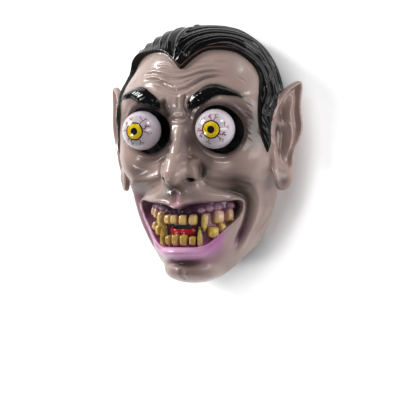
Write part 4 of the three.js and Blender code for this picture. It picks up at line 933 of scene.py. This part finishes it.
    # upper gum: dark plum in the middle, lighter toward the sides and darker still by the lip edge: painted shade under
    # the upper lip
    side = smooth(14, 34, au)
    mc = np.where(upper[:, None], coat(mc, 0.05 + 0.60 * side, lin(140, 86, 118)), mc)
    mc = np.where(lower[:, None], coat(mc, 0.92 + 0 * y, GUM_PINK), mc)
    shade = smooth(0.6, 3.4, face_map.at(D_MOUTH, u, y) * -1)
    mc = np.where(upper[:, None], mc * (0.45 + 0.55 * shade[:, None]), mc)
    kn = smooth(1.3, 0.2, d["kf"])
    mc = coat(mc, 0.8 * kn * smooth(4, 20, au), lin(190, 150, 168))
    wall = smooth(-4.0, -1.0, dm) * smooth(-36, -46, u) * smooth(-58, -66, y)
    mc = coat(mc, 0.85 * wall, lin(172, 126, 160))
    flesh = smooth(19, 25, X) * smooth(50, 44, X) * smooth(-62, -66, y) * smooth(-92, -84, y)
    mc = coat(mc, 0.72 * flesh, lin(184, 138, 140))
    # pink shelf under the tongue
    mc = coat(mc, 0.75 * spot(X, y, 0, -88.6, 22, 1.9), lin(196, 96, 132))
    # painted shade in the back corners of the mouth, behind the last teeth
    corner_shade_in_mouth = smooth(46.8, 49.4, x)
    mc = coat(mc, 0.95 * corner_shade_in_mouth, lin(40, 22, 27))
    # tongue
    tg = smooth(1.0, 0.2, d["tg"])
    tc = RED[None, :] * np.ones((len(P), 1))
    tc = coat(tc, 0.7 * smooth(10, 18, np.abs(X)), RED_DARK)
    mc = mc * (1 - tg[:, None]) + tc * tg[:, None]
    # teeth: yellow with a pinkish root and flanks, darker low down
    tp, fl = d["tp"], d["tfl"]
    t_c = OCHRE[None, :] * np.ones((len(P), 1))
    t_c = coat(t_c, 0.30 * (0.5 + 0.5 * value_noise(X, y, z, 3.0, 77)), OLIVE)
    t_c = coat(t_c, 0.75 * (y < -78) * (np.abs(X) < 24), OLIVE)
    t_c = coat(t_c, 0.30 * (y > -78), lin(226, 200, 150))
    back = smooth(27, 33, x) * (y > -76)
    t_c = coat(t_c, np.clip(0.55 * smooth(0.32, 0.02, tp) + 0.70 * smooth(0.30, 0.85, fl) + back * 0.70 * smooth(0.98, 0.5, tp), 0, 0.9), TOOTH_ROOT)
    t_c = coat(t_c, 0.55 * smooth(0.06, -0.08, tp), lin(120, 66, 92))
    edge = smooth(0.0, 0.9, d["tf"] * -1 + 0.5)
    hair = np.clip(np.minimum(d["dh"], (d["ear"] - 1.0) * 1.5), -9, 9)
    inner = smooth(0.8, 0.45, d["void"])
    a1, b1 = about(T_L, X, y, z)
    s1 = a1 * 92 + 2.2 * np.sin(b1 * 2.1 + 0.6)
    s2 = fan(X, y) * 1.7
    low = smooth(52, 30, y)
    comb = np.where(X - parting(y, z) > 0, s1, s2) * (1 - low) + low * (np.abs(X) * 0.2 + z * 0.86 - 0.50 * y)
    stroke = np.abs(X) * 0.92 + y * 0.38
    fray = smooth(1.5, -2.5, y - BROW_MID(np.clip(np.where(u < 0, (au - 8) / 1.08, au), 10, 62))) * smooth(54, 30, au)
    sock = np.where((along > -SEAT - 1.6) & (z > 30), SOCKET_R + 0.9 - r, -6)
    return np.column_stack([c, mc, t_c, hair, np.clip(d["db"], -6, 6), np.clip(dm, -6, 6), np.clip(d["tf"], -1, 4), np.clip(sock, -6, 6), inner, comb, stroke, fray])

# ------------------------------------------------------------------ shader helpers
class Nodes:
    def __init__(self, name):
        self.mat = bpy.data.materials.new(name)
        self.mat.use_nodes = True
        self.t = self.mat.node_tree
        self.t.nodes.clear()
        self.out = self.t.nodes.new("ShaderNodeOutputMaterial")
        self.bsdf = self.t.nodes.new("ShaderNodeBsdfPrincipled")
        self.t.links.new(self.bsdf.outputs[0], self.out.inputs[0])

    def new(self, kind, **props):
        n = self.t.nodes.new(kind)
        for k, v in props.items():
            setattr(n, k, v)
        return n

    def link(self, a, b):
        self.t.links.new(a, b)
        return b

    def feed(self, sock, v):
        if hasattr(v, "is_output"):
            self.t.links.new(v, sock)
        else:
            sock.default_value = v

    def attr(self, name, colour=False):
        n = self.new("ShaderNodeAttribute", attribute_name=name)
        return n.outputs["Color" if colour else "Fac"]

    def math(self, op, a, b=0.0, c=None, clamp=False):
        n = self.new("ShaderNodeMath", operation=op, use_clamp=clamp)
        self.feed(n.inputs[0], a)
        self.feed(n.inputs[1], b)
        if c is not None:
            self.feed(n.inputs[2], c)
        return n.outputs[0]

    def ramp(self, v, a, b, lo=0.0, hi=1.0):
        n = self.new("ShaderNodeMapRange", interpolation_type="SMOOTHSTEP")
        self.feed(n.inputs["Value"], v)
        for k, q in (("From Min", a), ("From Max", b), ("To Min", lo), ("To Max", hi)):
            n.inputs[k].default_value = q
        return n.outputs["Result"]

    def mix(self, f, a, b, mode="MIX"):
        n = self.new("ShaderNodeMix", data_type="RGBA", blend_type=mode)
        self.feed(n.inputs[0], f)
        for s, v in ((n.inputs[6], a), (n.inputs[7], b)):
            self.feed(s, v if hasattr(v, "is_output") else (*[float(q) for q in v], 1.0))
        return n.outputs[2]

    def mixf(self, f, a, b):
        n = self.new("ShaderNodeMix", data_type="FLOAT")
        self.feed(n.inputs[0], f)
        self.feed(n.inputs[2], a)
        self.feed(n.inputs[3], b)
        return n.outputs[0]

    def noise(self, scale, detail=2.0, rough=0.5, vec=None):
        n = self.new("ShaderNodeTexNoise")
        n.inputs["Scale"].default_value = scale
        n.inputs["Detail"].default_value = detail
        n.inputs["Roughness"].default_value = rough
        self.feed(n.inputs["Vector"], vec if vec is not None else self.where())
        return n.outputs["Fac"]

    def where(self):
        if not hasattr(self, "_w"):
            self._w = self.new("ShaderNodeTexCoord").outputs["Object"]
        return self._w

    def bump(self, height, strength, distance, normal=None):
        n = self.new("ShaderNodeBump")
        n.inputs["Strength"].default_value = strength
        n.inputs["Distance"].default_value = distance
        self.feed(n.inputs["Height"], height)
        if normal is not None:
            self.feed(n.inputs["Normal"], normal)
        return n.outputs["Normal"]

def mask_material():
    m = Nodes("painted_vinyl")
    hair = m.ramp(m.attr("hair"), -0.25, 0.35)
    # the brow's lower edge is feathered along its brush strokes
    hairs = m.math("SINE", m.math("MULTIPLY", m.math("ADD", m.attr("stroke"), m.math("MULTIPLY", m.noise(260, 3.0), 5.0)), 3.4))
    feather = m.math("MULTIPLY", m.math("ADD", m.math("MULTIPLY", hairs, 0.9), m.math("MULTIPLY", m.math("SUBTRACT", m.noise(500, 2.0), 0.5), 2.0)), m.attr("fray"))
    brow = m.ramp(m.math("ADD", m.attr("brow"), feather), -0.35, 0.55)
    black = m.math("MAXIMUM", hair, brow)
    mouth = m.ramp(m.attr("mouth"), 0.35, -0.35)
    tooth = m.ramp(m.attr("tooth"), 0.62, 0.22)
    tooth = m.math("MULTIPLY", tooth, m.ramp(m.attr("mouth"), 3.0, 1.5))
    socket = m.ramp(m.attr("socket"), -0.45, 0.45)
    inner = m.attr("inner")
    # colour drift in the spray and faint speckle
    drift = m.noise(55, 4.0, 0.55)
    fine = m.noise(900, 3.0, 0.6)
    skin = m.mix(m.ramp(drift, 0.35, 0.7, 0.0, 0.16), m.attr("skin_paint", True), lin(150, 122, 112))
    skin = m.mix(m.ramp(fine, 0.45, 0.8, 0.0, 0.10), skin, lin(120, 92, 84))
    gum = m.mix(m.ramp(m.noise(240, 3.0), 0.4, 0.75, 0.0, 0.30), m.attr("mouth_paint", True), lin(70, 30, 48))
    teeth = m.mix(m.ramp(m.noise(380, 3.0), 0.45, 0.8, 0.0, 0.30), m.attr("tooth_paint", True), lin(122, 92, 36))
    # dark line where tooth and gum meet
    seam = m.math("MULTIPLY", m.ramp(m.attr("tooth"), 0.15, 0.55), m.ramp(m.attr("tooth"), 1.7, 0.7))
    gum = m.mix(m.math("MULTIPLY", seam, 0.62), gum, lin(48, 22, 34))
    col = m.mix(mouth, skin, gum)
    col = m.mix(tooth, col, teeth)
    tone = m.mix(m.ramp(m.noise(130, 3.0), 0.4, 0.7), lin(7, 7, 8), lin(12, 11, 12))
    # a thin brown line just inside the hairline: a painted reflection of the skin in the glossy black hair
    rim = m.math("MULTIPLY", m.ramp(m.attr("hair"), 2.2, 3.1), m.ramp(m.attr("hair"), 4.3, 3.3))
    tone = m.mix(m.math("MULTIPLY", rim, m.attr("rim")), tone, lin(92, 62, 54))
    col = m.mix(black, col, tone)
    col = m.mix(socket, col, lin(9, 8, 9))
    raw = m.mix(m.ramp(m.noise(30, 3.0), 0.3, 0.7), lin(26, 24, 24), lin(33, 31, 30))
    col = m.mix(inner, col, raw)
    m.link(col, m.bsdf.inputs["Base Color"])
    # gloss: lacquered paint outside, dull vinyl within
    edge = m.math("MULTIPLY", m.ramp(m.attr("hair"), -0.6, 0.2), m.ramp(m.attr("hair"), 2.4, 1.2))
    gloss = m.mixf(black, m.ramp(drift, 0.3, 0.7, 0.29, 0.38), m.mixf(edge, 0.13, 0.62))
    gloss = m.mixf(m.math("MAXIMUM", mouth, tooth), gloss, 0.24)
    gloss = m.mixf(socket, gloss, 0.38)
    gloss = m.mixf(inner, gloss, 0.55)
    m.link(gloss, m.bsdf.inputs["Roughness"])
    m.bsdf.inputs["IOR"].default_value = 1.33
    dull = m.math("MAXIMUM", m.math("MAXIMUM", black, socket), inner)
    m.link(m.mixf(dull, 0.38, 0.0), m.bsdf.inputs["Coat Weight"])
    m.bsdf.inputs["Coat Roughness"].default_value = 0.16
    m.bsdf.inputs["Subsurface Weight"].default_value = 0.0
    # moulded surface: faint orange peel, and fine strands combed in the hair
    peel = m.math("MULTIPLY", m.noise(420, 2.0), 1.0)
    wave = m.math("SINE", m.math("MULTIPLY", m.math("ADD", m.attr("comb"), m.math("MULTIPLY", m.noise(90, 2.0), 1.6)), 5.2))
    strands = m.math("MULTIPLY", m.math("MULTIPLY", wave, 0.9), m.ramp(m.attr("hair"), 1.5, 4.0))
    peel = m.math("MULTIPLY", peel, m.mixf(black, 1.0, 0.0))
    n1 = m.bump(peel, 0.10, 0.0002)
    n2 = m.bump(strands, 0.10, 0.0001, n1)
    m.link(n2, m.bsdf.inputs["Normal"])
    return m.mat

# ------------------------------------------------------------------ the moulded shell
P, Q = whole(*surface(STEP))
P = settle(P + 0.4 * (beside(P, Q) - P), 1, 0.6)
P, T = lighten(mesh_of("raw", P, Q), TARGET)
P = untangle(settle(P, 1, 0.25), T)
shell_mesh = mesh_of("mask_shell_fine", P, T)
G = unit(slope(P, 0.3))
paints = np.concatenate(in_chunks(paint, P))
for name, cols in (("skin_paint", slice(0, 3)), ("mouth_paint", slice(3, 6)), ("tooth_paint", slice(6, 9))):
    put(shell_mesh, name, paints[:, cols])
for k, name in enumerate(("hair", "brow", "mouth", "tooth", "socket", "inner", "comb", "stroke", "fray")):
    put(shell_mesh, name, paints[:, 9 + k])
# where the painted reflection of the skin in the hair runs, across the front
put(shell_mesh, "rim", smooth(-14, -4, P[:, 0]) * smooth(62, 40, P[:, 0]) * 0.8)
shell_mesh.polygons.foreach_set("use_smooth", np.ones(len(shell_mesh.polygons), bool))
shell_mesh.normals_split_custom_set_from_vertices(G.tolist())
shell = place("mask_shell_fine", shell_mesh)
shell_mesh.materials.append(mask_material())
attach(shell, "root")
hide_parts("mask_shell")

# ------------------------------------------------------------------ eyeballs
# printed veins: arc distance from the middle of the iris, and offset sideways, in mm
FORK = [[(10.2, 0.2), (12, -0.4), (13.4, 0.2)], [(13.4, 0.2), (14.8, 1.8), (16.2, 2.4)], [(13.4, 0.2), (15.2, -1.0), (17.2, -0.8)], [(15.2, -1.0), (16.2, -2.6)]]
WYE = [[(9.9, 0), (12.2, -0.5), (14.2, 0.1)], [(14.2, 0.1), (15.2, -2.0), (15.6, -4.0), (17.0, -5.2)], [(14.2, 0.1), (16.6, 0.9), (18.8, 0.3)], [(18.8, 0.3), (20.6, -0.8)], [(18.0, 0.6), (19.6, 2.2)]]
PAIR = [[(10.1, -1.3), (12.4, -2.0), (14.4, -3.4), (17.0, -4.6)], [(12.4, -2.0), (13.4, -4.2), (15.2, -5.6)], [(14.4, -3.4), (17.4, -2.6)],
        [(10.1, 1.5), (13.0, 2.2), (16.0, 2.0), (19.2, 3.2)], [(16.0, 2.0), (17.6, 0.4)], [(13.0, 2.2), (14.6, 4.2), (16.2, 4.6)], [(17.6, 2.6), (18.4, 4.6)]]
CLUSTERS = [(8, PAIR), (80, WYE), (127, PAIR), (196, FORK), (256, PAIR), (318, FORK)]

def veins(s, a, turn):
    """distance in mm to the edge of the printed veins at arc s and clockwise angle a; the veins thin out further from
    the iris
    """
    best = np.full(s.shape, 9.0)
    rng = np.random.default_rng(17)
    for deg, strokes in CLUSTERS:
        t = math.radians(deg + turn)
        da = (a - t + math.pi) % (2 * math.pi) - math.pi
        w = da * np.sin(np.clip(s / BALL_R, 0.05, 3.0)) * BALL_R
        w = np.where(np.abs(da) > 1.3, 99, w)
        for line in strokes:
            pts = [(p + rng.uniform(-0.25, 0.25), q + rng.uniform(-0.3, 0.3)) for p, q in line]
            pts[0] = line[0]
            for k in range(len(pts) - 1):
                (p0, q0), (p1, q1) = pts[k], pts[k + 1]
                dp, dq = p1 - p0, q1 - q0
                f = np.clip(((s - p0) * dp + (w - q0) * dq) / (dp * dp + dq * dq), 0, 1)
                thick = 0.46 - 0.20 * smooth(10, 20, p0 + dp * f)
                wig = 0.22 * np.sin((s * 2.3 + w * 1.9))
                best = np.minimum(best, np.hypot(s - p0 - dp * f, w - q0 - dq * f + wig) - thick)
    return best

def ball_material():
    m = Nodes("eyeball_gloss")
    rho = m.attr("arc")
    vein = m.ramp(m.math("ADD", m.attr("vein"), m.math("MULTIPLY", m.math("SUBTRACT", m.noise(900, 2.0), 0.5), 0.5)), 0.24, -0.10)
    white = m.mix(m.ramp(m.noise(60, 3.0), 0.35, 0.7), lin(198, 190, 197), lin(185, 174, 182))
    col = m.mix(m.math("MULTIPLY", vein, 0.92), white, m.mix(m.ramp(m.noise(300, 1.0), 0.4, 0.6), lin(150, 28, 66), lin(108, 18, 44)))
    # iris: yellow with an orange-brown broken ring, printed between two black rings
    yellow = m.mix(m.ramp(m.noise(330, 3.0), 0.4, 0.68), lin(240, 208, 24), lin(206, 164, 10))
    band = m.math("MULTIPLY", m.ramp(rho, 5.2, 6.2), m.ramp(rho, 7.4, 6.5))
    yellow = m.mix(m.math("MULTIPLY", band, m.ramp(m.noise(260, 2.0), 0.42, 0.62, 0.05, 0.5)), yellow, lin(196, 118, 8))
    col = m.mix(m.ramp(rho, 9.8, 9.5), col, lin(10, 9, 14))
    col = m.mix(m.ramp(rho, 8.3, 8.0), col, yellow)
    col = m.mix(m.ramp(rho, 3.95, 3.7), col, lin(8, 7, 12))
    m.link(col, m.bsdf.inputs["Base Color"])
    m.link(m.ramp(m.noise(80, 2.0), 0.3, 0.7, 0.16, 0.22), m.bsdf.inputs["Roughness"])
    m.bsdf.inputs["IOR"].default_value = 1.5
    m.bsdf.inputs["Coat Weight"].default_value = 0.4
    m.bsdf.inputs["Coat Roughness"].default_value = 0.05
    n1 = m.bump(m.noise(160, 2.0), 0.05, 0.0003)
    m.link(n1, m.bsdf.inputs["Normal"])
    return m.mat

BALL_MAT = ball_material()

def eyeball(name, node, centre, yaw, pitch, turn):
    """a ball whose printed front is turned by yaw and pitch; a low seam runs round its middle"""
    rows, cols = ((190, 300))
    t = np.linspace(0, 1, rows + 1)[1:-1]
    th = math.pi * (0.62 * t + 0.38 * t**3.2)          # closer rows on the printed front
    ph = np.arange(cols) / cols * 2 * math.pi
    TH, PH = np.meshgrid(th, ph, indexing="ij")
    TH, PH = np.append(TH.ravel(), [0, math.pi]), np.append(PH.ravel(), [0, 0])
    f = np.array([math.sin(math.radians(yaw)) * math.cos(math.radians(pitch)), math.sin(math.radians(pitch)), math.cos(math.radians(yaw)) * math.cos(math.radians(pitch))])
    up = np.array([0, 1.0, 0]) - f * f[1]
    up /= np.linalg.norm(up)
    rt = np.cross(up, f)
    # clockwise from the top as seen from the front
    D = np.cos(TH)[:, None] * f + np.sin(TH)[:, None] * (np.cos(PH)[:, None] * up + np.sin(PH)[:, None] * rt)
    R = BALL_R - 0.02 - 0.10 * bell((TH - 0.5 * math.pi) * BALL_R, 0.35)
    P = np.array(centre) + D * R[:, None]
    n = rows - 1
    i, j = np.meshgrid(np.arange(n - 1), np.arange(cols), indexing="ij")
    a, b = i * cols + j, i * cols + (j + 1) % cols
    c, d = (i + 1) * cols + (j + 1) % cols, (i + 1) * cols + j
    F = np.stack([a, b, c, d], -1).reshape(-1, 4)
    T = np.concatenate([F[:, [0, 2, 1]], F[:, [0, 3, 2]]])
    k = np.arange(cols)
    T = np.concatenate([T, np.stack([np.full(cols, n * cols), k, (k + 1) % cols], -1)[:, [0, 1, 2]], np.stack([np.full(cols, n * cols + 1), (n - 1) * cols + (k + 1) % cols, (n - 1) * cols + k], -1)])
    # all faces out
    m = P[T].mean(1) - np.array(centre)
    w = np.einsum("ij,ij->i", np.cross(P[T[:, 1]] - P[T[:, 0]], P[T[:, 2]] - P[T[:, 0]]), m)
    T[w < 0] = T[w < 0][:, ::-1]
    me = mesh_of(name, P, T)
    arc = TH * BALL_R
    put(me, "arc", np.minimum(arc, 40))
    put(me, "vein", np.clip(veins(arc, PH, turn), -1, 3))
    me.polygons.foreach_set("use_smooth", np.ones(len(me.polygons), bool))
    me.materials.append(BALL_MAT)
    ob = place(name, me)
    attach(ob, "root")
    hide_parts(node)
    return ob

bx, by, bz = BALL_AT
eyeball("left_eyeball_fine", "left_eyeball", (bx, by, bz), 11.8, -4.2, 0)
eyeball("right_eyeball_fine", "right_eyeball", (-bx, by, bz), 3.0, -5.0, -42)

# ------------------------------------------------------------------ stage, lights, camera
def floor():
    s = 3.0
    me = bpy.data.meshes.new("floor")
    me.from_pydata([(-s, -s, 0), (s, -s, 0), (s, s, 0), (-s, s, 0)], [], [(0, 1, 2, 3)])
    ob = place("floor", me)
    ob.location.z = -0.0002
    m = Nodes("pale_floor")
    col = m.mix(m.ramp(m.noise(6, 3.0), 0.3, 0.7), lin(240, 240, 241), lin(246, 246, 247))
    m.link(col, m.bsdf.inputs["Base Color"])
    m.bsdf.inputs["Roughness"].default_value = 0.8
    m.bsdf.inputs["Emission Color"].default_value = (1, 1, 1, 1)
    # the floor glows a little outside the mask's footprint and not under it: painted light that lifts the mask's shadow
    # on the floor
    w = m.new("ShaderNodeSeparateXYZ")
    m.link(m.where(), w.inputs[0])
    x2 = m.math("MULTIPLY", w.outputs[0], w.outputs[0])
    y2 = m.math("MULTIPLY", m.math("MULTIPLY", w.outputs[1], w.outputs[1]), 0.62)
    m.link(m.ramp(m.math("SQRT", m.math("ADD", x2, y2)), 0.085, 0.125, 0.0, 0.56), m.bsdf.inputs["Emission Strength"])
    me.materials.append(m.mat)
floor()

def area(name, at, aim, size, power, colour=(1, 1, 1), tall=None):
    L = bpy.data.lights.new(name, "AREA")
    L.shape = "RECTANGLE" if tall else "SQUARE"
    L.size = size
    if tall:
        L.size_y = tall
    L.energy = power
    L.color = colour
    ob = bpy.data.objects.new(name, L)
    bpy.context.scene.collection.objects.link(ob)
    ob.location = at
    ob.rotation_euler = (Vector(aim) - Vector(at)).to_track_quat("-Z", "Y").to_euler()
    return ob

area("key", (-1.42, 0.95, 0.76), (0, 0, 0.05), 0.5, 35, (1.0, 0.99, 0.975))
area("side", (1.25, 0.05, 0.50), (0.03, 0, 0.05), 0.45, 7.0, (0.98, 0.99, 1.0), 0.9)
area("low", (-0.95, -0.62, 1.25), (0, -0.05, 0.05), 0.3, 6.6)
area("fill", (0.10, 0.90, 1.55), (0, 0, 0.05), 0.10, 1.0)
area("rim", (0.95, 0.90, 0.36), (0.05, 0.06, 0.05), 0.30, 4.0)

world = bpy.data.worlds.new("studio")
bpy.context.scene.world = world
world.use_nodes = True
world.node_tree.nodes["Background"].inputs[0].default_value = (1, 1, 1, 1)
world.node_tree.nodes["Background"].inputs[1].default_value = 0.13

cam = bpy.data.cameras.new("camera")
cam.lens, cam.sensor_width = 140.1, 36
cam.clip_start, cam.clip_end = 0.1, 20
cam_ob = bpy.data.objects.new("camera", cam)
bpy.context.scene.collection.objects.link(cam_ob)
cam_ob.location = (0.7185, -0.058, 1.5607)
cam_ob.rotation_euler = (0, math.radians(25), 0)
bpy.context.scene.camera = cam_ob
bpy.context.scene.view_settings.view_transform = "Standard"
